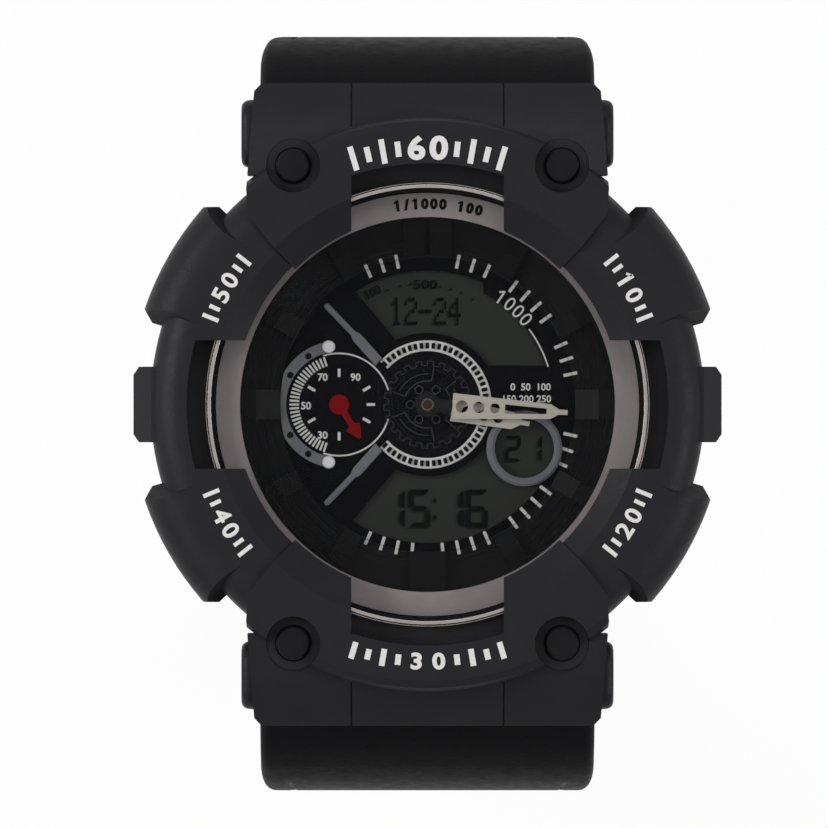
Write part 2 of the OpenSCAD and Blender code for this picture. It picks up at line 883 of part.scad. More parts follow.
module subdial_hand() {
  color("firebrick")
  translate([-sub_off, 0, sub_hand_z]) rotate([0, 0, dial_angle(sub_at)]) difference() {
    linear_extrude(height = hand_th) {
      circle(r = 0.87);
      translate([0, -0.26]) square([sub_len - 1.2, 0.52]);
      polygon([
        [sub_len - 1.4, -0.26], [sub_len - 1.2, -0.7], [sub_len, -0.1], [sub_len, 0.1],
        [sub_len - 1.2, 0.7], [sub_len - 1.4, 0.26]
      ]);
    }
    translate([0, 0, -over]) cylinder(r = sub_post_r, h = hand_th + 2 * over);
  }
}

// Gears. Each tooth is narrowed from pitch line to tip, and phase is the angle of one tooth.
function tooth(n, m, a) =
  let (p = 360 / n, root = m * (n / 2 - 1.15), pitch = m * n / 2, tip = m * (n / 2 + 0.85))
  [polar(root, a - 0.27 * p), polar(pitch, a - 0.2 * p), polar(tip, a - 0.1 * p),
   polar(tip, a + 0.1 * p), polar(pitch, a + 0.2 * p), polar(root, a + 0.27 * p)];

module gear_outline(n, m, phase) {
  polygon([for (i = [0:n - 1]) each tooth(n, m, phase + i * 360 / n)]);
}

cannon_teeth = 12;
minute_teeth = 36;
minute_pinion_teeth = 10;
hour_teeth = 40;
motor_teeth = 48;
rotor_teeth = 8;
sub_teeth = 30;
train_at = 60;
train_gap = gear_m * (cannon_teeth + minute_teeth) / 2;
hour_m = 2 * train_gap / (minute_pinion_teeth + hour_teeth);
rotor_at = -60;
rotor_gap = motor_m * (motor_teeth + rotor_teeth) / 2;
sub_rotor_gap = motor_m * (sub_teeth + rotor_teeth) / 2;
floor_low = 3.65;
floor_top = 3.95;
stator_z = 4;
stator_th = 0.3;
motor_gear_z = 4.5;
first_gear_z = 5;
second_gear_z = first_gear_z + gear_th + 0.1;
pivot_r = 0.2;

module cannon_pinion() {
  color("gold") {
    translate([0, 0, floor_low + 0.05]) cylinder(r = pivot_r, h = 0.6);
    translate([0, 0, floor_top + 0.05])
      cylinder(r = shaft_r, h = minute_z + hand_th + 0.15 - floor_top - 0.05);
    translate([0, 0, motor_gear_z]) linear_extrude(height = gear_th - 0.05)
      gear_outline(motor_teeth, motor_m, rotor_at);
    translate([0, 0, first_gear_z]) linear_extrude(height = gear_th)
      gear_outline(cannon_teeth, gear_m, train_at);
  }
}

module hour_wheel() {
  color("gold")
  difference() {
    union() {
      translate([0, 0, second_gear_z]) linear_extrude(height = gear_th)
        gear_outline(hour_teeth, hour_m, train_at + 180 / hour_teeth);
      translate([0, 0, second_gear_z]) cylinder(r = tube_r, h = hour_z + hand_th - second_gear_z);
    }
    translate([0, 0, second_gear_z - over]) cylinder(r = shaft_r + run, h = hour_z + 2 * over);
    for (a = [0:72:288]) rotate([0, 0, a]) translate([2.1, 0, second_gear_z - over])
      cylinder(r = 0.6, h = 2 * over);
  }
}

module minute_wheel() {
  color("gold")
  translate(concat(polar(train_gap, train_at), [0])) difference() {
    union() {
      translate([0, 0, first_gear_z]) linear_extrude(height = gear_th)
        gear_outline(minute_teeth, gear_m, train_at + 180 + 180 / minute_teeth);
      translate([0, 0, first_gear_z]) linear_extrude(height = second_gear_z + gear_th - first_gear_z)
        gear_outline(minute_pinion_teeth, hour_m, train_at + 180);
    }
    translate([0, 0, first_gear_z - over]) cylinder(r = pivot_r + run, h = 4);
    for (a = [0:72:288]) rotate([0, 0, a]) translate([2.2, 0, first_gear_z - over])
      cylinder(r = 0.65, h = 2 * over);
  }
}

module subdial_arbor() {
  color("gold")
  translate([-sub_off, 0, 0]) {
    translate([0, 0, floor_low + 0.05]) cylinder(r = pivot_r, h = 0.6);
    translate([0, 0, floor_top + 0.05]) cylinder(r = sub_post_r, h = sub_hand_z + hand_th - floor_top - 0.05);
    translate([0, 0, motor_gear_z]) linear_extrude(height = gear_th - 0.05)
      gear_outline(sub_teeth, motor_m, train_at);
  }
}

module rotor_shape(mesh_at) {
  magnet_r = 0.7;
  translate([0, 0, floor_low + 0.05]) cylinder(r = pivot_r, h = 0.6);
  translate([0, 0, floor_top + 0.05]) cylinder(r = magnet_r, h = motor_gear_z - floor_top - 0.05);
  translate([0, 0, motor_gear_z]) linear_extrude(height = gear_th - 0.05)
    gear_outline(rotor_teeth, motor_m, mesh_at + 180 / rotor_teeth);
}

module rotor() {
  color("slategray")
  translate(concat(polar(rotor_gap, rotor_at), [0])) rotor_shape(rotor_at + 180);
}

sub_rotor_place = [-sub_off, 0] + polar(sub_rotor_gap, train_at);

module subdial_rotor() {
  color("slategray")
  translate(concat(sub_rotor_place, [0])) rotor_shape(train_at + 180);
}

// Module: frame, board, battery and motors
frame_r = cavity_r - slip;
frame_low = back_top + 0.1;
board_r = 15.2;
board_th = 0.4;
pocket_r = 12;
lcd_low = dial_low - lcd_th;
strip_y = 12.9;
strip_w = 1.2;
strip_len = 9;
lamp_x = -13;
lamp_size = [1.3, 2.4];
battery_at = [3, 3];
battery_r = 8;
battery_th = 1.6;
clip_plate = 0.2;
board_low = floor_low - board_th;
motor_a = [polar(rotor_gap, rotor_at), 5, -3.4];
motor_b = [sub_rotor_place, 3.1, 4.2];
core_z = 4.75;
core_th = 0.3;

module bearing_holes(r) {
  for (p = [[0, 0], [-sub_off, 0], polar(rotor_gap, rotor_at), sub_rotor_place])
    translate(concat(p, [0])) cylinder(r = r, h = 2 * floor_top);
}

module contact_boxes(gap) {
  both_y() translate([-strip_len / 2 - gap, strip_y - strip_w / 2 - gap, floor_low])
    cube([strip_len + 2 * gap, strip_w + 2 * gap, lcd_low - floor_low]);
}

module module_frame() {
  color("gray") {
    difference() {
      union() {
        translate([0, 0, floor_low]) cylinder(r = frame_r, h = dial_low - floor_low);
        translate([0, 0, frame_low]) ring(board_r + slip, frame_r, floor_low - frame_low);
      }
      translate([0, 0, floor_top]) cylinder(r = pocket_r, h = dial_low);
      translate([0, 0, lcd_low]) cylinder(r = lcd_r + run, h = dial_low);
      bearing_holes(pivot_r + run);
      contact_boxes(slip);
      translate([0, 0, -over]) contact_boxes(slip);
      translate([lamp_x - lamp_size[0] / 2 - slip, -lamp_size[1] / 2 - slip, floor_low - over])
        cube([lamp_size[0] + 2 * slip, lamp_size[1] + 2 * slip, dial_low]);
      for (a = push_angles) at_pusher(a) translate([lcd_r + 0.15, -1.5, -1.2]) cube([4, 3, 2.4]);
    }
    // Fixed stud of the minute wheel
    translate(concat(polar(train_gap, train_at), [floor_low])) {
      cylinder(r = pivot_r, h = second_gear_z + gear_th - floor_low);
      cylinder(r = 0.5, h = first_gear_z - 0.05 - floor_low);
    }
  }
}

chip_at = [-9.5, 4.5];
chip_side = 3.4;
chip_h = 0.8;
can_at = [7, -9.5];
can_r = 0.6;
can_len = 3.6;

module circuit_board() {
  color("darkgreen") {
    translate([0, 0, board_low]) cylinder(r = board_r, h = board_th);
    // Driver chip and crystal can on the battery side
    translate([chip_at[0], chip_at[1], board_low - chip_h]) cube([chip_side, chip_side, chip_h]);
    translate([can_at[0], can_at[1], board_low - can_r]) rotate([0, 90, 20]) cylinder(r = can_r, h = can_len);
  }
}

module battery() {
  color("lightgray")
  translate(concat(battery_at, [board_low - battery_th])) {
    cylinder(r = battery_r - 0.3, h = 0.3);
    translate([0, 0, 0.3]) cylinder(r = battery_r, h = battery_th - 0.3);
  }
}

module battery_clip() {
  clip_low = board_low - battery_th - clip_plate;
  reach = battery_r + 0.2;
  color("silver")
  translate(concat(battery_at, [clip_low])) {
    translate([-reach - clip_plate, -2, 0]) cube([2 * reach + 2 * clip_plate, 4, clip_plate]);
    for (x = [-reach - clip_plate, reach]) translate([x, -2, 0]) cube([clip_plate, 4, board_low - clip_low]);
  }
}

module stator_shape(place, half, off) {
  arm_w = 1;
  s = sign(off);
  translate(concat(place, [stator_z])) {
    linear_extrude(height = stator_th) difference() {
      union() {
        square([2 * half, 2.4], center = true);
        for (x = [-half, half - arm_w]) translate([x, min(0, off + s * 0.5)]) square([arm_w, abs(off) + 0.5]);
      }
      circle(r = 0.85);
    }
    for (x = [-half, half - arm_w]) translate([x, off - 0.5, 0])
      cube([arm_w, 1, core_z + core_th - stator_z]);
    translate([-half, off - 0.5, core_z - stator_z]) cube([2 * half, 1, core_th]);
  }
}

module stator_plates() {
  color("silver") for (m = [motor_a, motor_b]) stator_shape(m[0], m[1], m[2]);
}

module coil_shape(place, half, off) {
  len = 2 * half - 2.4;
  r = 0.88;
  translate([place[0], place[1] + off, core_z + core_th / 2]) difference() {
    union() {
      rod_x(r - 0.2, -len / 2, len / 2);
      for (x = [-len / 2, len / 2 - 0.3]) rod_x(r, x, x + 0.3);
    }
    translate([-half, -0.5, -core_th / 2]) cube([2 * half, 1, core_th]);
  }
}

module motor_coils() {
  color("chocolate") for (m = [motor_a, motor_b]) coil_shape(m[0], m[1], m[2]);
}

module contact_strips() {
  color("lightgray") contact_boxes(0);
}

module led_lamp() {
  color("white")
  translate([lamp_x - lamp_size[0] / 2, -lamp_size[1] / 2, floor_low])
    cube([lamp_size[0], lamp_size[1], lcd_low - floor_low - 0.1]);
}

piezo_at = [-8.5, -6.5];
piezo_r = 4.5;

module piezo_disc() {
  color("gold")
  translate(concat(piezo_at, [back_top])) {
    cylinder(r = piezo_r, h = 0.1);
    cylinder(r = 0.7 * piezo_r, h = 0.2);
  }
}

// Pushers
stem_in = clip_at - 0.6;
clip_r = 1.05;
groove_r = 0.55;
ridge_pitch = 0.6;
ridge_deep = 0.25;

// Front edge of a head: an arc about the dial's centre, cut into ridges
function head_front() =
  let (n = floor(head_w / ridge_pitch))
  [for (i = [0:2 * n])
    let (y = -head_w / 2 + i * head_w / (2 * n), r = head_face - (i % 2 == 0 ? ridge_deep : 0))
    [sqrt(r * r - y * y), y]];

module pusher(a) {
  color("dimgray")
  at_pusher(a) difference() {
    union() {
      translate([0, 0, -head_h / 2]) linear_extrude(height = head_h)
        polygon(concat([[head_back, -head_w / 2]], head_front(), [[head_back, head_w / 2]]));
      rod_x(stem_r, stem_in, head_back + 0.1);
    }
    difference() {
      rod_x(stem_r + over, clip_at, clip_at + clip_th + 0.05);
      rod_x(groove_r, clip_at - over, clip_at + over);
    }
  }
}

module pusher_2() { pusher(push_angles[0]); }
module pusher_4() { pusher(push_angles[1]); }
module pusher_8() { pusher(push_angles[2]); }
module pusher_10() { pusher(push_angles[3]); }

module pusher_clip(a) {
  color("silver")
  at_pusher(a) difference() {
    rod_x(clip_r, clip_at, clip_at + clip_th);
    rod_x(groove_r, clip_at - over, clip_at + over);
    translate([clip_at - over, -groove_r * 0.8, -clip_r - over])
      cube([2 * over, groove_r * 1.6, clip_r + over]);
  }
}

module pusher_clip_2() { pusher_clip(push_angles[0]); }
module pusher_clip_4() { pusher_clip(push_angles[1]); }
module pusher_clip_8() { pusher_clip(push_angles[2]); }
module pusher_clip_10() { pusher_clip(push_angles[3]); }

module pusher_seals() {
  color("black")
  for (a = push_angles) at_pusher(a) translate([(seal_from + seal_to) / 2, 0, 0]) rotate([0, 90, 0])
    rotate_extrude() translate([stem_r + run + 0.2, 0]) circle(r = 0.19);
}

// Wire wound round +X: rings of points along the helix, joined into one tube
module helix(r, wire, x0, x1, turns) {
  steps = 10;
  sides = 6;
  n = turns * steps;
  function centre(i) = [x0 + (x1 - x0) * i / n, r * cos(360 * i / steps), r * sin(360 * i / steps)];
  points = [for (i = [0:n], k = [0:sides - 1])
    let (a = 360 * i / steps, b = 360 * k / sides)
    centre(i) + wire * [sin(b), cos(b) * cos(a), cos(b) * sin(a)]];
  faces = concat(
    [[for (k = [0:sides - 1]) sides - 1 - k]],
    [for (i = [0:n - 1], k = [0:sides - 1]) let (q = i * sides, k1 = (k + 1) % sides) each
      [[q + k, q + k1, q + sides + k1], [q + k, q + sides + k1, q + sides + k]]],
    [[for (k = [0:sides - 1]) n * sides + k]]
  );
  polyhedron(points = points, faces = faces);
}

module pusher_spring(a) {
  wire = spring_wire / 2;
  color("silver")
  at_pusher(a) helix(spring_r, wire, spring_seat + wire, head_back - wire, spring_turns);
}

module pusher_spring_2() { pusher_spring(push_angles[0]); }
module pusher_spring_4() { pusher_spring(push_angles[1]); }
module pusher_spring_8() { pusher_spring(push_angles[2]); }
module pusher_spring_10() { pusher_spring(push_angles[3]); }

// Strap. Each centre line is a smooth curve through points in Y and Z, drawn for 12 o'clock.
upper_knots = [
  [pin_y, pin_z], [26.8, 3.2], [29.6, -0.4], [31, -5], [31.2, -10], [30.4, -14], [29.6, -18],
  [28.8, -22], [28, -26], [27.2, -30], [25.8, -34.5], [23, -39.5], [19, -43.5]
];
foot_z = -64;
foot_mid = foot_z + strap_thin / 2;
lower_knots = [
  [pin_y, pin_z], [27.1, 3.4], [30.5, 0.1], [32.4, -5], [33.1, -13], [33.1, -23], [32.2, foot_mid + 29],
  [29.4, foot_mid + 18.5], [24.4, foot_mid + 9.5], [17, foot_mid + 3.1], [8.5, foot_mid + 0.3],
  [1, foot_mid], [-10, foot_mid], [-20, foot_mid], [-29.5, foot_mid]
];
curve_steps = 4;
thick_span = 4;
tip_y = -29.5;
tip_round = 7;
first_hole_y = 4;
buckle_at = upper_knots[len(upper_knots) - 1];
buckle_knuckle_r = 1.9;
buckle_half = strap_narrow / 2 - 2;
keeper_from = upper_knots[6];
keeper_to = upper_knots[7];
keeper_gap = 0.25;

function blend(a, b, t) = a + (b - a) * min(1, max(0, t));

// Catmull-Rom point between the second and third of four knots
function curve_point(a, b, c, d, t) =
  0.5 * (2 * b + (c - a) * t + (2 * a - 5 * b + 4 * c - d) * t * t + (3 * b - a - 3 * c + d) * t * t * t);

function curve(k) =
  let (last = len(k) - 1)
  concat(
    [for (i = [0:last - 1], j = [0:curve_steps - 1])
      curve_point(k[max(0, i - 1)], k[i], k[i + 1], k[min(last, i + 2)], j / curve_steps)],
    [k[last]]
  );

function strap_thickness(i) = blend(strap_th, strap_thin, i / (thick_span * curve_steps));

function side_point(p, i, side) =
  let (d = p[min(len(p) - 1, i + 1)] - p[max(0, i - 1)], n = [d[1], -d[0]] / norm(d))
  p[i] + side * n * strap_thickness(i) / 2;

module strap_profile(knots) {
  p = curve(knots);
  last = len(p) - 1;
  polygon(concat([for (i = [0:last]) side_point(p, i, 1)], [for (i = [last:-1:0]) side_point(p, i, -1)]));
  translate(p[0]) circle(r = knuckle_r);
}

// Width of the strap against its height, as a prism along Y. The low end is flat where it stands.
module strap_front(taper_from, taper_mid, taper_to) {
  w = strap_w / 2;
  n = strap_narrow / 2;
  m = blend(w, n, 0.16);
  rotate([90, 0, 0]) translate([0, 0, -60]) linear_extrude(height = 120)
    polygon([
      [w, 12], [w, taper_from], [m, taper_mid], [n, taper_to], [n, foot_z],
      [-n, foot_z], [-n, taper_to], [-m, taper_mid], [-w, taper_from], [-w, 12]
    ]);
}

// Bore and reliefs that clear the case's lugs
module strap_root_cuts() {
  arm_clear = lug_arm_r + 0.3;
  mid_clear = knuckle_r + 0.3;
  translate([0, pin_y, pin_z]) {
    rod_x(pin_r + run, -strap_w, strap_w);
    both_x() {
      rod_x(arm_clear, lug_arm_in - slip, strap_w);
      translate([lug_arm_in - slip, -5, -arm_clear]) cube([5, 5, 2 * arm_clear]);
    }
    rod_x(mid_clear, -centre_lug - slip, centre_lug + slip);
  }
}

module strap_upper() {
  tongue_slot = 1.5;
  color("#26282b") difference() {
    intersection() {
      along_x(strap_w) {
        strap_profile(upper_knots);
        translate(buckle_at) circle(r = buckle_knuckle_r);
      }
      strap_front(0, -5, -13);
    }
    strap_root_cuts();
    translate([0, buckle_at[0], buckle_at[1]]) {
      rod_x(buckle_pin_r + run, -strap_w, strap_w);
      both_x() rod_x(buckle_knuckle_r + 0.5, buckle_half, strap_w);
      rod_x(buckle_knuckle_r + 0.3, -tongue_slot, tongue_slot);
      // Room for the tongue when it is lifted
      along_x(2 * tongue_slot) polygon([[0, 0], [4, -2], [4, 1.4]]);
    }
  }
}

module tip_outline() {
  w = strap_narrow / 2;
  translate([-strap_w, tip_y + tip_round]) square([2 * strap_w, 80]);
  translate([-w + tip_round, tip_y]) square([2 * (w - tip_round), tip_round + 1]);
  for (s = [-1, 1]) translate([s * (w - tip_round), tip_y + tip_round]) circle(r = tip_round);
}

module strap_lower() {
  color("#26282b") mirror([0, 1, 0]) difference() {
    intersection() {
      along_x(strap_w) strap_profile(lower_knots);
      strap_front(-2, -12, -34);
      translate([0, 0, foot_z - over]) linear_extrude(height = 90) tip_outline();
    }
    strap_root_cuts();
    for (i = [0:hole_count - 1]) translate([0, first_hole_y - i * hole_pitch, foot_z - over])
      cylinder(r = hole_r, h = strap_thin + 3);
  }
}

module keeper_loop() {
  d = keeper_to - keeper_from;
  mid = (keeper_from + keeper_to) / 2;
  in_w = strap_narrow + 2 * keeper_gap;
  in_t = strap_thin + 2 * keeper_gap;
  round_r = keeper_wall;
  color("#26282b")
  translate([0, mid[0], mid[1]]) rotate([atan2(d[0], -d[1]), 0, 0])
  translate([0, 0, -keeper_len / 2]) linear_extrude(height = keeper_len) difference() {
    union() {
      square([in_w + 2 * keeper_wall, in_t], center = true);
      square([in_w, in_t + 2 * keeper_wall], center = true);
      for (sx = [-1, 1], sy = [-1, 1]) translate([sx * in_w / 2, sy * in_t / 2]) circle(r = round_r);
    }
    square([in_w, in_t], center = true);
  }
}

// Buckle, hanging from its pin
frame_bar_w = 2.3;
frame_gap = 0.25;

module at_buckle() {
  translate([0, buckle_at[0], buckle_at[1]]) children();
}

module buckle_frame() {
  half = buckle_half + frame_gap;
  color("silver") at_buckle() difference() {
    union() {
      both_x() translate([half + frame_bar_w / 2, 0, 0]) along_x(frame_bar_w) {
        circle(r = buckle_knuckle_r);
        translate([-buckle_bar / 2, -buckle_len]) square([buckle_bar, buckle_len]);
        translate([0, -buckle_len]) circle(r = buckle_bar / 2);
      }
      translate([0, 0, -buckle_len]) rod_x(buckle_bar / 2, -half - 0.1, half + 0.1);
    }
    rod_x(buckle_pin_r, -strap_w, strap_w);
  }
}

module buckle_pin() {
  half = buckle_half + frame_gap + frame_bar_w;
  color("silver") at_buckle() rod_x(buckle_pin_r, -half, half);
}

module buckle_tongue() {
  inner = buckle_bar / 2 + 0.15;
  tip = buckle_len + 1.2;
  color("silver") at_buckle() along_x(2.4) difference() {
    union() {
      circle(r = 1.45);
      polygon([
        [0.2, -1], [inner, -buckle_len + 1.2], [inner, -tip], [inner + 0.9, -tip + 0.4],
        [inner + 1.1, -buckle_len + 1], [1.42, 0]
      ]);
    }
    circle(r = buckle_pin_r + run);
  }
}

case_body();
case_back();
case_back_gasket();
case_back_screws();
crystal();
crystal_gasket();
rim_ring();
dial_ring();
chapter_ring();
bezel();
bezel_corner_plugs();
strap_pins();
strap_pin_caps();
dial_plate();
lcd_panel();
subdial_disc();
subdial_crescent();
center_gear_disc();
segment_ring();
caliper_arms();
date_ring();
hour_hand();
minute_hand();
subdial_hand();
hour_wheel();
cannon_pinion();
minute_wheel();
subdial_arbor();
module_frame();
circuit_board();
battery();
battery_clip();
motor_coils();
stator_plates();
rotor();
subdial_rotor();
contact_strips();
led_lamp();
piezo_disc();
pusher_2();
pusher_4();
pusher_8();
pusher_10();
pusher_seals();
pusher_spring_2();
pusher_spring_4();
pusher_spring_8();
pusher_spring_10();
pusher_clip_2();
pusher_clip_4();
pusher_clip_8();
pusher_clip_10();
strap_upper();
strap_lower();
keeper_loop();
buckle_frame();
buckle_pin();
buckle_tongue();
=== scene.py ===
"""Looks of a resin sports watch: finishes, printed markings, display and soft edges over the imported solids.

Lengths are in millimetres and turns in degrees clockwise from 12, where a docstring says nothing else. Meshes are
made in metres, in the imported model's own frame: the dial faces +Z, 12 o'clock is +Y and 3 o'clock is +X.
"""

import logging
import math
from collections.abc import Iterable
from dataclasses import dataclass, field
from enum import Enum

import bmesh
import bpy
from mathutils import Matrix, Vector

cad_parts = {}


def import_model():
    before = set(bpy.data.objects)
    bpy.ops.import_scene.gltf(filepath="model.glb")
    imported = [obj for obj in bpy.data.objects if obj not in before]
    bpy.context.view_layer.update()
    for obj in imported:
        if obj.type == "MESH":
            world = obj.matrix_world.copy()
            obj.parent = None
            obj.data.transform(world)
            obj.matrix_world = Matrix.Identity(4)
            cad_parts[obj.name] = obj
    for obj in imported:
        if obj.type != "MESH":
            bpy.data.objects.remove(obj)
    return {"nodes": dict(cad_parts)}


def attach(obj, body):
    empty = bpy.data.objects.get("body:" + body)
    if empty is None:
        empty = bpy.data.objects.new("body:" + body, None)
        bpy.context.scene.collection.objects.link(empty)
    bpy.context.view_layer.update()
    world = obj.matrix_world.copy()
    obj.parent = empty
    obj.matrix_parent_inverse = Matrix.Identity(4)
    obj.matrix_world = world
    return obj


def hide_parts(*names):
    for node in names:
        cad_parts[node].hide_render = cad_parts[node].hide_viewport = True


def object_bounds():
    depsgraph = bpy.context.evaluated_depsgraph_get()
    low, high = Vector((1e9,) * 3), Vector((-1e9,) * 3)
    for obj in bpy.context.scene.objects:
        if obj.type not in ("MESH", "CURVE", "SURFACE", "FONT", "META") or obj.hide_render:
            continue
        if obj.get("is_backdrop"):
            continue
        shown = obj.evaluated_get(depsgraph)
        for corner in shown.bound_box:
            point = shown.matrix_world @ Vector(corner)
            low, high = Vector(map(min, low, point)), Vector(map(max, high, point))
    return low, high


LOG = logging.getLogger("sports_watch")
MM = 0.001
WELD = 0.0005 * MM

# The photograph's frame: its side in pixels, the dial's centre in it, and the scale there.
PHOTO_SIDE_PX = 828
DIAL_CENTRE_PX = (427.5, 404.5)
MM_PER_PX = 0.0875

# Each side of the watch with each end of it, as signs of X and Y.
CORNERS = ((1, 1), (1, -1), (-1, 1), (-1, -1))

Point = tuple[float, float]
Triple = tuple[float, float, float]
Colour = Triple
Mesh = bmesh.types.BMesh
Object = bpy.types.Object
Socket = bpy.types.NodeSocket


def shade(colour: Colour, factor: float = 1.0) -> tuple[float, ...]:
    """Gives the linear colour of a display colour, made lighter or darker.

    Args:
        colour: red, green and blue as shown, from 0 to 255.
        factor: what its linear values are multiplied by.

    Returns:
        The linear colour with an alpha of 1.
    """
    channels = [c / 255 for c in colour]
    curved = [c / 12.92 if c <= 0.04045 else ((c + 0.055) / 1.055) ** 2.4 for c in channels]
    return (*(c * factor for c in curved), 1.0)


def polar(radius: float, turn: float) -> Point:
    """Gives the point at a radius and a turn."""
    return (radius * math.sin(math.radians(turn)), radius * math.cos(math.radians(turn)))


def from_px(x: float, y: float) -> Point:
    """Turns a place in the photograph's frame into a place on the dial."""
    return ((x - DIAL_CENTRE_PX[0]) * MM_PER_PX, (DIAL_CENTRE_PX[1] - y) * MM_PER_PX)


def link(name: str, data: bpy.types.ID) -> Object:
    """Puts a new object with its data in the scene.

    Args:
        name: the object's name.
        data: its mesh, lamp or camera.

    Returns:
        The new object.
    """
    obj = bpy.data.objects.new(name, data)
    bpy.context.scene.collection.objects.link(obj)
    return obj


def mesh_data(name: str, mesh: Mesh) -> bpy.types.Mesh:
    """Turns a bmesh into a mesh.

    Args:
        name: the mesh's name.
        mesh: the bmesh, freed here.

    Returns:
        The new mesh.
    """
    data = bpy.data.meshes.new(name)
    mesh.to_mesh(data)
    mesh.free()
    return data


class Sketch:
    """A new material whose nodes are added and joined in short calls."""

    def __init__(self, name: str) -> None:
        """Starts a material with only a Principled shader and its output.

        Args:
            name: the material's name.
        """
        self.material = bpy.data.materials.new(name)
        self.material.use_nodes = True
        self.tree = self.material.node_tree
        self.shader = self.tree.nodes["Principled BSDF"]
        self.coordinates = self.add("TexCoord").outputs["Object"]

    def add(self, kind: str, inputs: dict[str | int, object] | None = None, **settings: object) -> bpy.types.Node:
        """Adds a node.

        Args:
            kind: the node's type without its ShaderNode prefix.
            inputs: values for sockets, or sockets to join to them.
            settings: values for the node's own properties.

        Returns:
            The new node.
        """
        node = self.tree.nodes.new("ShaderNode" + kind)
        for name, value in settings.items():
            setattr(node, name, value)
        for name, value in (inputs or {}).items():
            self.feed(node.inputs[name], value)
        return node

    def feed(self, place: Socket, value: object) -> None:
        """Joins a socket to an input, or sets the input to a constant.

        Args:
            place: the input.
            value: the socket or the constant.
        """
        if isinstance(value, bpy.types.NodeSocket):
            self.tree.links.new(value, place)
        else:
            place.default_value = value

    def set(self, **values: object) -> None:
        """Sets the Principled shader's inputs, named with underscores for spaces, to constants or to sockets."""
        for name, value in values.items():
            self.feed(self.shader.inputs[name.replace("_", " ")], value)

    def in_mm(self, scale: Triple = (1, 1, 1)) -> Socket:
        """Gives object coordinates in millimetres, with the pattern's density stretched along each axis."""
        inputs = {"Vector": self.coordinates, "Scale": [s / MM for s in scale]}
        return self.add("Mapping", inputs).outputs["Vector"]

    def noise(self, vector: Socket, density: float, detail: float = 3) -> Socket:
        """Adds fractal noise around 0.5, with its density in cells for each millimetre."""
        inputs = {"Vector": vector, "Scale": density, "Detail": detail, "Roughness": 0.55}
        return self.add("TexNoise", inputs).outputs["Fac"]

    def cells(self, vector: Socket, density: float, feature: str = "F1") -> Socket:
        """Adds Voronoi cells and gives the distance from their middles."""
        inputs = {"Vector": vector, "Scale": density}
        return self.add("TexVoronoi", inputs, feature=feature).outputs["Distance"]

    def maths(self, operation: str, first: Socket, second: Socket | float = 0.0) -> Socket:
        """Adds a Math node and gives its result."""
        return self.add("Math", {0: first, 1: second}, operation=operation).outputs["Value"]

    def ramp(self, value: Socket, dark: tuple[float, ...], light: tuple[float, ...], start: float = 0.3,
             end: float = 0.7) -> Socket:
        """Adds a ramp between two linear colours.

        Args:
            value: the socket that drives it.
            dark: colour at its start.
            light: colour at its end.
            start: value where it starts.
            end: value where it ends.

        Returns:
            The colour's socket.
        """
        node = self.add("ValToRGB", {"Fac": value})
        for element, position, colour in zip(node.color_ramp.elements, (start, end), (dark, light)):
            element.position = position
            element.color = colour
        return node.outputs["Color"]

    def remap(self, value: Socket, low: float, high: float, start: float = 0.3, end: float = 0.7) -> Socket:
        """Maps the range from start to end to the one from low to high."""
        inputs = {"Value": value, "From Min": start, "From Max": end, "To Min": low, "To Max": high}
        return self.add("MapRange", inputs).outputs["Result"]

    def bump(self, height: Socket, depth: float, below: Socket | None = None) -> Socket:
        """Adds a bump.

        Args:
            height: socket with the height, from 0 to 1.
            depth: depth of a full step.
            below: normal socket of a bump that this one lies on, if any.

        Returns:
            The normal's socket.
        """
        inputs = {"Height": height, "Distance": depth * MM, "Strength": 1.0}
        if below is not None:
            inputs["Normal"] = below
        return self.add("Bump", inputs).outputs["Normal"]


@dataclass(frozen=True)
class Finish:
    """What all finishes have: a name, and the name of a record's slot."""

    name: str
    slot: str

    def material(self) -> bpy.types.Material:
        """Makes the material.

        Returns:
            The new material.
        """
        sketch = Sketch(self.name)
        self.dress(sketch)
        return sketch.material

    def dress(self, sketch: Sketch) -> None:
        """Adds the finish's nodes to a new material."""
        raise NotImplementedError(self.name)


@dataclass(frozen=True)
class Resin(Finish):
    """Moulded resin: a fine spark-eroded grain, faint flow marks and slightly polished high spots."""

    colour: Colour
    roughness: float = 0.48
    grain_per_mm: float = 5.0
    grain_depth: float = 0.008
    mottle: float = 0.08
    gloss: float = 0.25

    def dress(self, sketch: Sketch) -> None:
        """Adds mottled colour, rubbed gloss and a grain over flow marks.

        Args:
            sketch: the new material.
        """
        place = sketch.in_mm()
        flow = sketch.noise(place, 0.35, 4)
        mixed = sketch.maths("ADD", flow, sketch.noise(place, self.grain_per_mm * 1.6, 2))
        dark, light = shade(self.colour, 1 - self.mottle), shade(self.colour, 1 + self.mottle)
        rubbed = sketch.remap(sketch.noise(place, 0.9, 5), self.roughness - 0.05, self.roughness + 0.08)
        grain = sketch.cells(place, self.grain_per_mm, "SMOOTH_F1")
        sketch.set(
            Base_Color=sketch.ramp(sketch.remap(mixed, 0, 1, 0.7, 1.3), dark, light, 0, 1), Roughness=rubbed,
            Normal=sketch.bump(grain, self.grain_depth, sketch.bump(flow, self.grain_depth * 3)),
            IOR=1.5, Specular_IOR_Level=self.gloss)


class Brush(Enum):
    """Ways that a metal face is finished, each with the density of its marks along X, Y and Z."""

    TURNED = ()
    DRAWN_X = (0.15, 9.0, 9.0)
    DRAWN_Y = (9.0, 0.15, 9.0)
    POLISHED = (1.2, 1.2, 1.2)


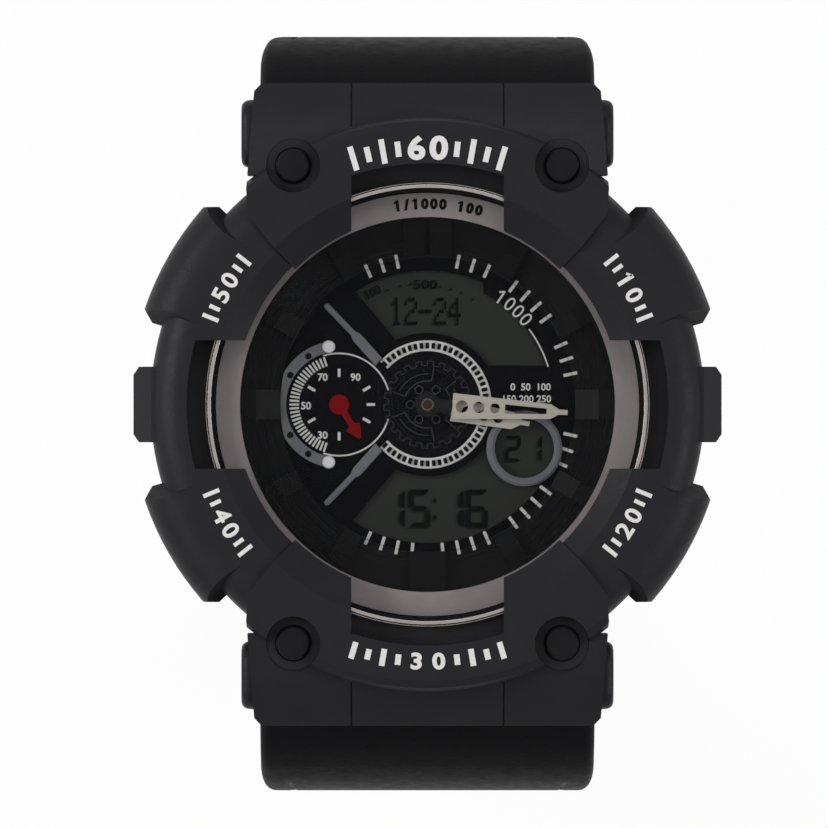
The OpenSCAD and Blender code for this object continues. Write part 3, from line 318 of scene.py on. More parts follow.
@dataclass(frozen=True)
class Metal(Finish):
    """Bare or plated metal with the marks of its finishing."""

    colour: Colour
    brush: Brush = Brush.POLISHED
    roughness: float = 0.25

    def marks(self, sketch: Sketch) -> Socket:
        """Adds the pattern of fine lines or scratches, which are rings round the dial's axis where it is turned.

        Args:
            sketch: the new material.

        Returns:
            The pattern's value socket.
        """
        if self.brush is not Brush.TURNED:
            return sketch.noise(sketch.in_mm(self.brush.value), 1.0, 4)
        flat = sketch.add("SeparateXYZ", {"Vector": sketch.in_mm()})
        squares = [sketch.maths("POWER", flat.outputs[axis], 2.0) for axis in ("X", "Y")]
        radius = sketch.maths("SQRT", sketch.maths("ADD", *squares))
        return sketch.noise(sketch.add("CombineXYZ", {"X": radius}).outputs["Vector"], 9.0)

    def dress(self, sketch: Sketch) -> None:
        """Adds handled colour and the finishing marks.

        Args:
            sketch: the new material.
        """
        marks = self.marks(sketch)
        handled = sketch.noise(sketch.in_mm(), 0.4, 4)
        sketch.set(
            Base_Color=sketch.ramp(handled, shade(self.colour, 0.9), shade(self.colour, 1.06)),
            Roughness=sketch.remap(marks, self.roughness * 0.75, self.roughness * 1.35),
            Normal=sketch.bump(marks, 0.003), Metallic=1.0)


@dataclass(frozen=True)
class Lacquer(Finish):
    """Sprayed paint with fine metal flakes, as on applied dial pieces."""

    colour: Colour
    roughness: float = 0.38
    metallic: float = 0.0
    flake: float = 0.12
    gloss: float = 0.5

    def dress(self, sketch: Sketch) -> None:
        """Adds flakes, hazy gloss and a thin coat.

        Args:
            sketch: the new material.
        """
        place = sketch.in_mm()
        flakes = sketch.cells(place, 22.0)
        haze = sketch.noise(place, 0.8, 4)
        spark = sketch.remap(sketch.maths("ADD", flakes, haze), 0, 1, 0.5, 1.3)
        dark, light = shade(self.colour, 1 - self.flake), shade(self.colour, 1 + self.flake)
        sketch.set(
            Base_Color=sketch.ramp(spark, dark, light, 0, 1),
            Roughness=sketch.remap(haze, self.roughness - 0.05, self.roughness + 0.07),
            Normal=sketch.bump(flakes, 0.002), Metallic=self.metallic, Specular_IOR_Level=self.gloss,
            Coat_Weight=0.3 * self.gloss, Coat_Roughness=0.2)


@dataclass(frozen=True)
class Ink(Finish):
    """Pad-printed ink, thin and a little uneven."""

    colour: Colour
    roughness: float = 0.6
    gloss: float = 0.2

    def dress(self, sketch: Sketch) -> None:
        """Adds uneven colour and a fine grain.

        Args:
            sketch: the new material.
        """
        place = sketch.in_mm()
        body, grain = sketch.noise(place, 3.0), sketch.noise(place, 14.0, 2)
        sketch.set(
            Base_Color=sketch.ramp(body, shade(self.colour, 0.93), shade(self.colour, 1.03)),
            Roughness=sketch.remap(grain, self.roughness - 0.06, self.roughness + 0.06),
            Normal=sketch.bump(grain, 0.002), Specular_IOR_Level=self.gloss)


@dataclass(frozen=True)
class CrystalGlass(Finish):
    """Flat mineral glass: clear, with a slight grey tint and faint wiping marks in its gloss."""

    cover: float = 0.1
    tints: tuple[tuple[float, ...], ...] = ((0.010, 0.011, 0.013, 1), (0.014, 0.014, 0.015, 1))

    def dress(self, sketch: Sketch) -> None:
        """Adds the tint and the wiping marks.

        Args:
            sketch: the new material.
        """
        smear = sketch.noise(sketch.in_mm(), 0.25)
        sketch.set(
            Base_Color=sketch.ramp(smear, *self.tints), Roughness=sketch.remap(smear, 0.02, 0.06), IOR=1.5,
            Alpha=self.cover, Specular_IOR_Level=0.15)
        sketch.material.surface_render_method = "BLENDED"


@dataclass(frozen=True)
class DisplayFilm(Finish):
    """Liquid crystal film: a dark olive ground with a faint square grid of cells."""

    colour: Colour
    cell: float = 0.3125

    def dress(self, sketch: Sketch) -> None:
        """Adds the grid and a hazy gloss.

        Args:
            sketch: the new material.
        """
        place = sketch.in_mm()
        rows = sketch.add("TexBrick", {
            "Vector": place, "Scale": 1.0, "Mortar Size": 0.02, "Brick Width": self.cell, "Row Height": self.cell,
            "Color1": shade(self.colour), "Color2": shade(self.colour, 1.06), "Mortar": shade(self.colour, 0.82),
        }, offset=0.0)
        sketch.set(
            Base_Color=rows.outputs["Color"], Roughness=sketch.remap(sketch.noise(place, 0.3), 0.3, 0.42),
            Normal=sketch.bump(sketch.noise(place, 8.0, 2), 0.001), Specular_IOR_Level=0.08)


@dataclass(frozen=True)
class HandPaint(Finish):
    """Cream paint on a hand whose inner arm is black, as far as a radius round the dial's axis."""

    colour: Colour
    arm: Colour
    arm_radius: float
    roughness: float = 0.36

    def dress(self, sketch: Sketch) -> None:
        """Adds both paints with their brushed grain.

        Args:
            sketch: the new material.
        """
        flat = sketch.add("VectorMath", {0: sketch.in_mm(), 1: (1, 1, 0)}, operation="MULTIPLY").outputs["Vector"]
        radius = sketch.add("VectorMath", {0: flat}, operation="LENGTH").outputs["Value"]
        edge = sketch.remap(radius, 0, 1, self.arm_radius - 0.02, self.arm_radius + 0.02)
        grain = sketch.noise(sketch.in_mm((0.4, 6.0, 6.0)), 1.5, 4)
        mixed = sketch.add("MixRGB", {
            "Fac": edge, "Color1": sketch.ramp(grain, shade(self.arm, 0.9), shade(self.arm, 1.1)),
            "Color2": sketch.ramp(grain, shade(self.colour, 0.9), shade(self.colour, 1.06)),
        })
        sketch.set(
            Base_Color=mixed.outputs["Color"], Normal=sketch.bump(grain, 0.0015), Metallic=0.05,
            Roughness=sketch.remap(grain, self.roughness - 0.04, self.roughness + 0.06), Specular_IOR_Level=0.15)


class Palette:
    """All finishes of the watch."""

    BEZEL = Resin("bezel_resin", "bezel_resin", (35, 35, 37), 0.42, grain_depth=0.01, gloss=0.09)
    HOOD = Resin("case_resin", "case_resin", (28, 28, 30), 0.5, gloss=0.08)
    STRAP = Resin("strap_resin", "strap_resin", (17, 17, 19), 0.5, 3.5, 0.014, gloss=0.04)
    CAP = Resin("cap_resin", "cap_grey", (34, 34, 37), 0.4, gloss=0.09)
    # The corner plugs are bezel resin; their darker colour is painted shade of the recesses they sit in.
    PLUG_SHADED = Resin("plug_resin_shaded", "bezel_resin", (26, 26, 28), 0.42, gloss=0.06)
    RUBBER = Resin("black_rubber", "black_rubber", (22, 22, 23), 0.7, gloss=0.06)
    FRAME = Resin("module_plastic", "module_plastic", (86, 87, 90), 0.5)
    DIAL = Resin("dial_black", "dial_black", (10, 10, 12), 0.6, 8, 0.004, gloss=0.02)
    CHAPTER = Resin("chapter_grey", "chapter_grey", (19, 19, 20), 0.42, 8, 0.004, gloss=0.05)
    GEAR = Resin("gear_black", "dial_black", (9, 9, 11), 0.34, 8, 0.003, gloss=0.04)
    # The gear relief is dial black; this lighter colour is a painted highlight along its raised edges.
    EMBOSS_HIGHLIGHT = Resin("embossed_edge_highlight", "dial_black", (62, 62, 66), 0.35, 8, 0.002, gloss=0.08)
    SILICONE = Resin("silicone", "silicone", (170, 170, 176), 0.5)
    LAMP = Resin("lamp_resin", "lamp_white", (226, 224, 212), 0.3)
    SATIN = Metal("satin_steel", "steel_satin", (176, 176, 178), Brush.TURNED, 0.32)
    DRAWN = Metal("drawn_steel", "steel_satin", (170, 170, 172), Brush.DRAWN_X, 0.3)
    BRIGHT = Metal("bright_steel", "steel_bright", (200, 200, 204), roughness=0.12)
    RIM = Metal("rim_steel", "steel_bright", (158, 152, 148), roughness=0.2)
    COLLAR = Metal("collar_steel", "steel_bright", (98, 93, 88), roughness=0.3)
    BRASS = Metal("cut_brass", "brass_gear", (190, 152, 86), Brush.TURNED, 0.3)
    BRONZE = Metal("hub_bronze", "brass_gear", (62, 46, 40), roughness=0.4)
    COPPER = Metal("winding_wire", "copper_wire", (150, 84, 44), Brush.DRAWN_Y, 0.35)
    RING = Lacquer("ring_paint", "dial_silver", (156, 147, 146), 0.42, 0.1, gloss=0.2)
    APPLIED = Lacquer("applied_paint", "dial_silver", (112, 114, 118), 0.4, 0.15, gloss=0.15)
    STUD = Lacquer("stud_paint", "steel_bright", (240, 241, 244), 0.3, flake=0.03)
    RED = Lacquer("red_paint", "hand_red", (132, 8, 14), 0.4, flake=0.05, gloss=0.05)
    BOARD = Lacquer("board_mask", "board_green", (24, 84, 46), 0.3)
    WHITE = Ink("white_ink", "print_white", (232, 230, 226))
    BLACK = Ink("black_ink", "dial_black", (12, 12, 14), gloss=0.04)
    SEGMENT = Ink("display_segment", "dial_black", (8, 9, 9), 0.5, 0.03)
    SHADOW = Ink("display_shadow", "dial_black", (36, 38, 35), 0.5, 0.03)
    FILM = DisplayFilm("display_film", "lcd_film", (50, 52, 47))
    HAND = HandPaint("hand_paint", "hand_cream", (200, 195, 183), (24, 24, 26), 2.2)
    GLASS = CrystalGlass("crystal_glass", "crystal_glass")


class Bench:
    """Turns meshes into finished pieces that ride on the watch's bodies."""

    def __init__(self, nodes: dict[str, Object]) -> None:
        """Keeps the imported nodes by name, with no material made yet."""
        self.nodes = nodes
        self.made: dict[str, bpy.types.Material] = {}

    def material(self, finish: Finish) -> bpy.types.Material:
        """Gives a finish's material, made at its first use.

        Args:
            finish: one of the palette's finishes.

        Returns:
            Its material.
        """
        if finish.name not in self.made:
            self.made[finish.name] = finish.material()
        return self.made[finish.name]

    def coat(self, finish: Finish, *nodes: str) -> None:
        """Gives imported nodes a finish.

        Args:
            finish: their finish.
            nodes: the nodes.
        """
        for node in nodes:
            materials = self.nodes[node].data.materials
            materials.clear()
            materials.append(self.material(finish))
            LOG.info("node %s has finish %s", node, finish.name)

    def piece(self, name: str, mesh: Mesh, body: str, finish: Finish, smooth: float | None = None,
              node: str = "") -> Object:
        """Makes a piece from a finished bmesh.

        Args:
            name: the piece's name.
            mesh: the mesh in metres, freed here.
            body: the body that it rides on.
            finish: its finish.
            smooth: angle under which edges are shaded smooth, or None for flat shading.
            node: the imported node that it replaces, if any.

        Returns:
            The new object.
        """
        mesh.normal_update()
        for face in mesh.faces:
            face.smooth = smooth is not None
        for edge in mesh.edges if smooth is not None else ():
            edge.smooth = len(edge.link_faces) == 2 and edge.calc_face_angle(0) < math.radians(smooth)
        obj = link(name, mesh_data(name, mesh))
        obj.data.materials.append(self.material(finish))
        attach(obj, body)
        if node:
            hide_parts(node)
        LOG.info("piece %s rides on %s: %d faces", name, body, len(obj.data.polygons))
        return obj

    def soften(self, node: str, body: str, finish: Finish, width: float, sharp: float = 24, segments: int = 2,
               tool: Mesh | None = None) -> None:
        """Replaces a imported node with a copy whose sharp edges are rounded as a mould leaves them.

        Args:
            node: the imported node.
            body: the body that it rides on.
            finish: its finish.
            width: width of the rounding.
            sharp: edges that turn more than this are rounded.
            segments: faces across a rounded edge.
            tool: closed mesh that is cut out first, if any, freed here.
        """
        mesh = bmesh.new()
        mesh.from_mesh(self.nodes[node].data)
        bmesh.ops.remove_doubles(mesh, verts=mesh.verts, dist=0.002 * MM)
        bmesh.ops.dissolve_degenerate(mesh, edges=mesh.edges, dist=0.002 * MM)
        bmesh.ops.dissolve_limit(mesh, angle_limit=math.radians(1), verts=mesh.verts, edges=mesh.edges)
        if tool is not None:
            mesh = carved(mesh, [tool])
        obj = self.piece(node + "_shell", mesh, body, finish, sharp, node)
        edges = obj.modifiers.new("rounded_edges", "BEVEL")
        edges.width = width * MM
        edges.segments = segments
        edges.limit_method = "ANGLE"
        edges.angle_limit = math.radians(sharp)
        edges.use_clamp_overlap = True
        edges.harden_normals = True


class Marks:
    """Thin upright shapes gathered in one mesh. Each takes the two heights that are set when it is added."""

    # The flag of a 1, against the figure's height: how far it lies left of and above the middle, its width and its
    # length. Then the way that it points.
    flag_at: Point = (0.17, 0.33)
    flag_size: Point = (0.13, 0.34)
    flag_turn: float = 52

    def __init__(self, low: float, high: float) -> None:
        """Starts with no shape and with the first ones' heights."""
        self.mesh = bmesh.new()
        self.low, self.high = low, high

    def between(self, low: float, high: float) -> None:
        """Sets the heights of the shapes that follow."""
        self.low, self.high = low, high

    def place(self, at: Point, turn: float) -> Matrix:
        """Gives the matrix that takes a shape round the origin to its place, in metres."""
        middle = Matrix.Translation((*at, (self.low + self.high) / 2))
        return Matrix.Scale(MM, 4) @ (middle @ Matrix.Rotation(-math.radians(turn), 4, "Z"))

    def bar(self, at: Point, width: float, length: float, turn: float = 0) -> None:
        """Adds a box.

        Args:
            at: its middle.
            width: its size across.
            length: its size along.
            turn: the way that its length points.
        """
        size = Matrix.Diagonal((width, length, self.high - self.low, 1))
        bmesh.ops.create_cube(self.mesh, size=1, matrix=self.place(at, turn) @ size)

    def tick(self, turn: float, inner: float, outer: float, width: float, centre: Point = (0, 0)) -> None:
        """Adds a radial bar.

        Args:
            turn: its turn.
            inner: radius of its near end.
            outer: radius of its far end.
            width: its width.
            centre: the middle of its circle.
        """
        x, y = polar((inner + outer) / 2, turn)
        self.bar((centre[0] + x, centre[1] + y), width, outer - inner, turn)

    def disc(self, at: Point, radius: float, top: float | None = None, sides: int = 32) -> None:
        """Adds a round plate.

        Args:
            at: its middle.
            radius: its radius.
            top: radius of its upper face, if it differs.
            sides: number of its sides.
        """
        middle = Vector((*at, (self.low + self.high) / 2))
        bmesh.ops.create_cone(
            self.mesh, cap_ends=True, segments=sides, radius1=radius * MM,
            radius2=(radius if top is None else top) * MM, depth=(self.high - self.low) * MM,
            matrix=Matrix.Translation(middle * MM))

    def arc(self, inner: float, outer: float, start: float = 0, end: float = 360, centre: Point = (0, 0),
            step: float = 3) -> None:
        """Adds a flat ring or a piece of one.

        Args:
            inner: inner radius.
            outer: outer radius.
            start: turn where it starts.
            end: turn where it ends, past the start.
            centre: the middle of its circle.
            step: degrees between its corners.
        """
        whole = end - start == 360
        verts = []
        for radius, height in ((inner, self.low), (outer, self.low), (outer, self.high), (inner, self.high)):
            x, y = polar(radius, start)
            verts.append(self.mesh.verts.new(Vector((centre[0] + x, centre[1] + y, height)) * MM))
        geometry = verts + [self.mesh.edges.new((verts[i - 1], verts[i])) for i in (1, 2, 3, 0)]
        if not whole:
            geometry.append(self.mesh.faces.new(verts))
        bmesh.ops.spin(
            self.mesh, geom=geometry, cent=Vector((*centre, 0)) * MM, axis=(0, 0, 1), dvec=(0, 0, 0),
            angle=-math.radians(end - start), steps=max(3, round((end - start) / step)), use_merge=whole,
            use_duplicate=False)

    def plate(self, points: list[Point]) -> None:
        """Adds a flat plate with the given corners."""
        verts = [self.mesh.verts.new(Vector((x, y, self.low)) * MM) for x, y in points]
        grown(self.mesh, verts, (0, 0, (self.high - self.low) * MM))

    def figures(self, text: str, at: Point, height: float, turn: float = 0, stretch: float = 1.0,
                weight: float = 0.02) -> None:
        """Adds numerals of a plain face.

        Args:
            text: the numerals.
            at: their middle.
            height: their height.
            turn: the way that their upper side points.
            stretch: how much wider than the face's own they are.
            weight: how much their strokes are widened, against their height.
        """
        curve = bpy.data.curves.new("figures", "FONT")
        curve.body = text
        curve.extrude = 0.5
        curve.offset = weight
        curve.resolution_u = 4
        holder = bpy.data.objects.new("figures", curve)
        data = bpy.data.meshes.new_from_object(holder)
        lows, highs = ([limit(v.co[i] for v in data.vertices) for i in range(3)] for limit in (min, max))
        scale = height / (highs[1] - lows[1])
        sized = Matrix.Diagonal((scale * stretch, scale, (self.high - self.low) / (highs[2] - lows[2]), 1))
        centred = Matrix.Translation([-(a + b) / 2 for a, b in zip(lows, highs)])
        data.transform(self.place(at, turn) @ sized @ centred)
        self.mesh.from_mesh(data)
        bpy.data.meshes.remove(data)
        bpy.data.objects.remove(holder)

    def figures_on_arc(self, text: str, radius: float, middle: float, height: float, pitch: float,
                       inward: bool = False, stretch: float = 1.0, weight: float = 0.02) -> None:
        """Adds numerals one by one along an arc round the dial's centre, with a flag on each 1.

        Args:
            text: the numerals; a space leaves a place empty.
            radius: radius of their middles.
            middle: turn of the whole row's middle.
            height: their height.
            pitch: degrees from one to the next.
            inward: whether their upper sides point to the centre.
            stretch: how much wider than the face's own they are.
            weight: how much their strokes are widened, against their height.
        """
        for place, sign in enumerate(text):
            shift = (place - (len(text) - 1) / 2) * pitch
            turn = middle - shift if inward else middle + shift
            upper = turn + 180 if inward else turn
            if sign != " ":
                self.figures(sign, polar(radius, turn), height, upper, stretch, weight)
            if sign == "1":
                (left, above), (wide, long) = self.flag_at, self.flag_size
                parts = polar(radius, turn), polar(left * height, upper - 90), polar(above * height, upper)
                self.bar(tuple(map(sum, zip(*parts))), wide * height, long * height, upper + self.flag_turn)

    def done(self) -> Mesh:
        """Gives the mesh with its faces turned outwards."""
        return closed(self.mesh)


def closed(mesh: Mesh) -> Mesh:
    """Merges a mesh's doubles and turns its faces outwards.

    Args:
        mesh: the mesh.

    Returns:
        The same mesh.
    """
    bmesh.ops.remove_doubles(mesh, verts=mesh.verts, dist=WELD)
    bmesh.ops.recalc_face_normals(mesh, faces=mesh.faces)
    return mesh


def grown(mesh: Mesh, verts: list[bmesh.types.BMVert], shift: tuple[float, ...]) -> None:
    """Closes an outline with a face and extrudes it.

    Args:
        mesh: the mesh that holds the outline.
        verts: the outline's corners in order.
        shift: how far it is extruded, in metres.
    """
    moved = bmesh.ops.extrude_face_region(mesh, geom=[mesh.faces.new(verts)])["geom"]
    tops = [item for item in moved if isinstance(item, bmesh.types.BMVert)]
    bmesh.ops.translate(mesh, verts=tops, vec=shift)


def carved(mesh: Mesh, tools: list[Mesh]) -> Mesh:
    """Cuts tools out of a mesh.

    Args:
        mesh: the mesh to cut, freed here.
        tools: closed meshes to take away, freed here.

    Returns:
        The cut mesh.
    """
    for tool in tools:
        holders = [link("carving", mesh_data("carving", part)) for part in (mesh, tool)]
        cut = holders[0].modifiers.new("cut", "BOOLEAN")
        cut.operation = "DIFFERENCE"
        cut.solver = "EXACT"
        cut.object = holders[1]
        graph = bpy.context.evaluated_depsgraph_get()
        result = bpy.data.meshes.new_from_object(holders[0].evaluated_get(graph))
        mesh = bmesh.new()
        mesh.from_mesh(result)
        used = [result] + [holder.data for holder in holders]
        for holder in holders:
            bpy.data.objects.remove(holder)
        for data in used:
            bpy.data.meshes.remove(data)
    bmesh.ops.remove_doubles(mesh, verts=mesh.verts, dist=WELD)
    return mesh


def swept(sections: list[list[Vector]], joined: bool = False) -> Mesh:
    """Extrudes a closed outline through a row of places, so that it takes another form at each.

    Args:
        sections: the outline's points at each place, always in the same order.
        joined: whether the last place joins the first one.

    Returns:
        A closed mesh in metres.
    """
    mesh = bmesh.new()
    ring = [mesh.verts.new(point * MM) for point in sections[0]]
    edges = [mesh.edges.new((vert, ring[(i + 1) % len(ring)])) for i, vert in enumerate(ring)]
    if not joined:
        mesh.faces.new(ring)
    for points in sections[1:] + ([sections[0]] if joined else []):
        places = {tuple(vert.co): place for place, vert in enumerate(ring)}
        moved = bmesh.ops.extrude_edge_only(mesh, edges=edges)["geom"]
        fresh = {places[tuple(item.co)]: item for item in moved if isinstance(item, bmesh.types.BMVert)}
        edges = [item for item in moved if isinstance(item, bmesh.types.BMEdge)
                 and all(vert in fresh.values() for vert in item.verts)]
        ring = [fresh[i] for i in range(len(ring))]
        for vert, point in zip(ring, points):
            vert.co = point * MM
    if not joined:
        mesh.faces.new(ring)
    return closed(mesh)


def circle(radius: float, sides: int = 32) -> list[Point]:
    """Lists the corners of a circle round the origin."""
    return [polar(radius, 360 * i / sides) for i in range(sides)]


def bar_along_x(points: Iterable[Point], at: Point, start: float, end: float) -> Mesh:
    """Makes a closed bar whose length lies along X.

    Args:
        points: its outline in Y and Z.
        at: Y and Z that the outline is moved by.
        start: X of its first end.
        end: X of its second end.

    Returns:
        The bar's mesh in metres.
    """
    mesh = bmesh.new()
    verts = [mesh.verts.new(Vector((start, at[0] + y, at[1] + z)) * MM) for y, z in points]
    grown(mesh, verts, ((end - start) * MM, 0, 0))
    bmesh.ops.recalc_face_normals(mesh, faces=mesh.faces)
    return mesh


def hole_tool(at: Point, radius: float, reach: float, chamfer: float) -> Mesh:
    """Makes the tool of an upright hole whose mouths are chamfered.

    Args:
        at: Y of its axis, and the height of its middle.
        radius: its radius.
        reach: half of the thickness that it goes through.
        chamfer: width of its chamfers.

    Returns:
        The tool's mesh in metres.
    """
    mesh = bmesh.new()
    wide = radius + chamfer
    half = [(radius, reach - chamfer), (wide, reach), (wide, reach + 1), (0, reach + 1)]
    profile = [(x, -h) for x, h in reversed(half)] + half
    verts = [mesh.verts.new(Vector((x, at[0], at[1] + h)) * MM) for x, h in profile]
    edges = [mesh.edges.new(pair) for pair in zip(verts, verts[1:])]
    bmesh.ops.spin(
        mesh, geom=verts + edges, cent=(0, at[0] * MM, 0), axis=(0, 0, 1), dvec=(0, 0, 0), angle=2 * math.pi,
        steps=28, use_merge=True, use_duplicate=False)
    return closed(mesh)


@dataclass
class Studio:
    """Pale floor, soft lights and the camera of a product picture taken straight down on the dial."""

    camera_height: float = 900.0
    dial_height: float = 10.0
    sensor: float = 36.0
    aim_px: Point = (414.0, 414.0)
    floor_half: float = 1500.0
    floor_gap: float = 0.2
    floor_glow: float = 0.95
    sky: tuple[float, ...] = (0.9, 0.93, 1.0, 1)
    sky_strength: float = 0.12
    # Each lamp: its place, the length of its sides, and its power in watts.
    lamps: dict[str, tuple[Triple, float, float]] = field(default_factory=lambda: {
        "key": ((-560, 120, 380), 320, 3.1), "fill": ((560, -80, 360), 340, 1.9),
        "back": ((60, 420, 560), 300, 0.95), "front": ((-460, -240, 480), 320, 0.45)})

    def seen_rays(self, tree: bpy.types.NodeTree) -> Socket:
        """Gives 1 to the rays that show the pale background: those of the camera, of gloss and of glass.

        Args:
            tree: the node tree that gets the nodes.

        Returns:
            The socket with 1 or 0.
        """
        path = tree.nodes.new("ShaderNodeLightPath")
        seen = path.outputs["Is Camera Ray"]
        for kind in ("Is Glossy Ray", "Is Transmission Ray"):
            larger = tree.nodes.new("ShaderNodeMath")
            larger.operation = "MAXIMUM"
            tree.links.new(seen, larger.inputs[0])
            tree.links.new(path.outputs[kind], larger.inputs[1])
            seen = larger.outputs["Value"]
        return seen

    def floor(self, low: float) -> None:
        """Lays the floor: white where it is seen, plain paper for the light that it throws back.

        Args:
            low: the watch's lowest point, in metres.
        """
        mesh = bmesh.new()
        bmesh.ops.create_grid(mesh, x_segments=1, y_segments=1, size=self.floor_half * MM)
        bmesh.ops.translate(mesh, verts=mesh.verts, vec=(0, 0, low - self.floor_gap * MM))
        obj = link("floor", mesh_data("floor", mesh))
        sketch = Sketch("floor_paper")
        sketch.set(Base_Color=(0.9, 0.9, 0.9, 1), Roughness=0.9)
        paper = sketch.shader.outputs["BSDF"]
        white = sketch.add("Emission", {"Color": (1, 1, 1, 1), "Strength": 1.0}).outputs["Emission"]
        blend = sketch.add("MixShader", {0: self.floor_glow, 1: paper, 2: white}).outputs["Shader"]
        mix = sketch.add("MixShader", {0: self.seen_rays(sketch.tree), 1: paper, 2: blend}).outputs["Shader"]
        sketch.tree.links.new(mix, sketch.tree.nodes["Material Output"].inputs["Surface"])
        obj.data.materials.append(sketch.material)
        obj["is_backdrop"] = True

    def world(self) -> None:
        """Sets the world: white where it is seen, and a faint cool sky for light."""
        world = bpy.data.worlds.new("studio_world")
        bpy.context.scene.world = world
        world.use_nodes = True
        tree = world.node_tree
        soft = tree.nodes["Background"]
        soft.inputs["Color"].default_value = self.sky
        soft.inputs["Strength"].default_value = self.sky_strength
        white = tree.nodes.new("ShaderNodeBackground")
        white.inputs["Color"].default_value = (1, 1, 1, 1)
        mix = tree.nodes.new("ShaderNodeMixShader")
        sources = self.seen_rays(tree), soft.outputs["Background"], white.outputs["Background"]
        for source, place in zip(sources, mix.inputs):
            tree.links.new(source, place)
        tree.links.new(mix.outputs["Shader"], tree.nodes["World Output"].inputs["Surface"])

    def lights(self) -> None:
        """Hangs the square soft lamps, each turned to the watch."""
        for name, (place, size, watts) in self.lamps.items():
            data = bpy.data.lights.new(name, "AREA")
            data.shape = "SQUARE"
            data.size = size * MM
            data.energy = watts
            lamp = link(name, data)
            lamp.location = Vector(place) * MM
            lamp.rotation_euler = (-lamp.location).to_track_quat("-Z", "Y").to_euler()

    def camera(self) -> None:
        """Places the camera straight above the dial and sets its field to the photograph's."""
        data = bpy.data.cameras.new("camera")
        data.sensor_fit = "HORIZONTAL"
        data.sensor_width = self.sensor
        data.lens = self.sensor * (self.camera_height - self.dial_height) / (PHOTO_SIDE_PX * MM_PER_PX)
        data.clip_end = 20.0
        camera = link("camera", data)
        camera.location = Vector((*from_px(*self.aim_px), self.camera_height)) * MM
        bpy.context.scene.camera = camera

    def build(self, low: float) -> None:
        """Sets up the floor, the lights, the camera and the view's colours.

        Args:
            low: the watch's lowest point, in metres.
        """
        self.floor(low)
        self.world()
        self.lights()
        self.camera()
        bpy.context.scene.view_settings.view_transform = "Standard"
        LOG.info("studio is set")


@dataclass
class SubAssembly:
    """What all sub-assemblies have: the bench that their pieces are made on."""

    bench: Bench


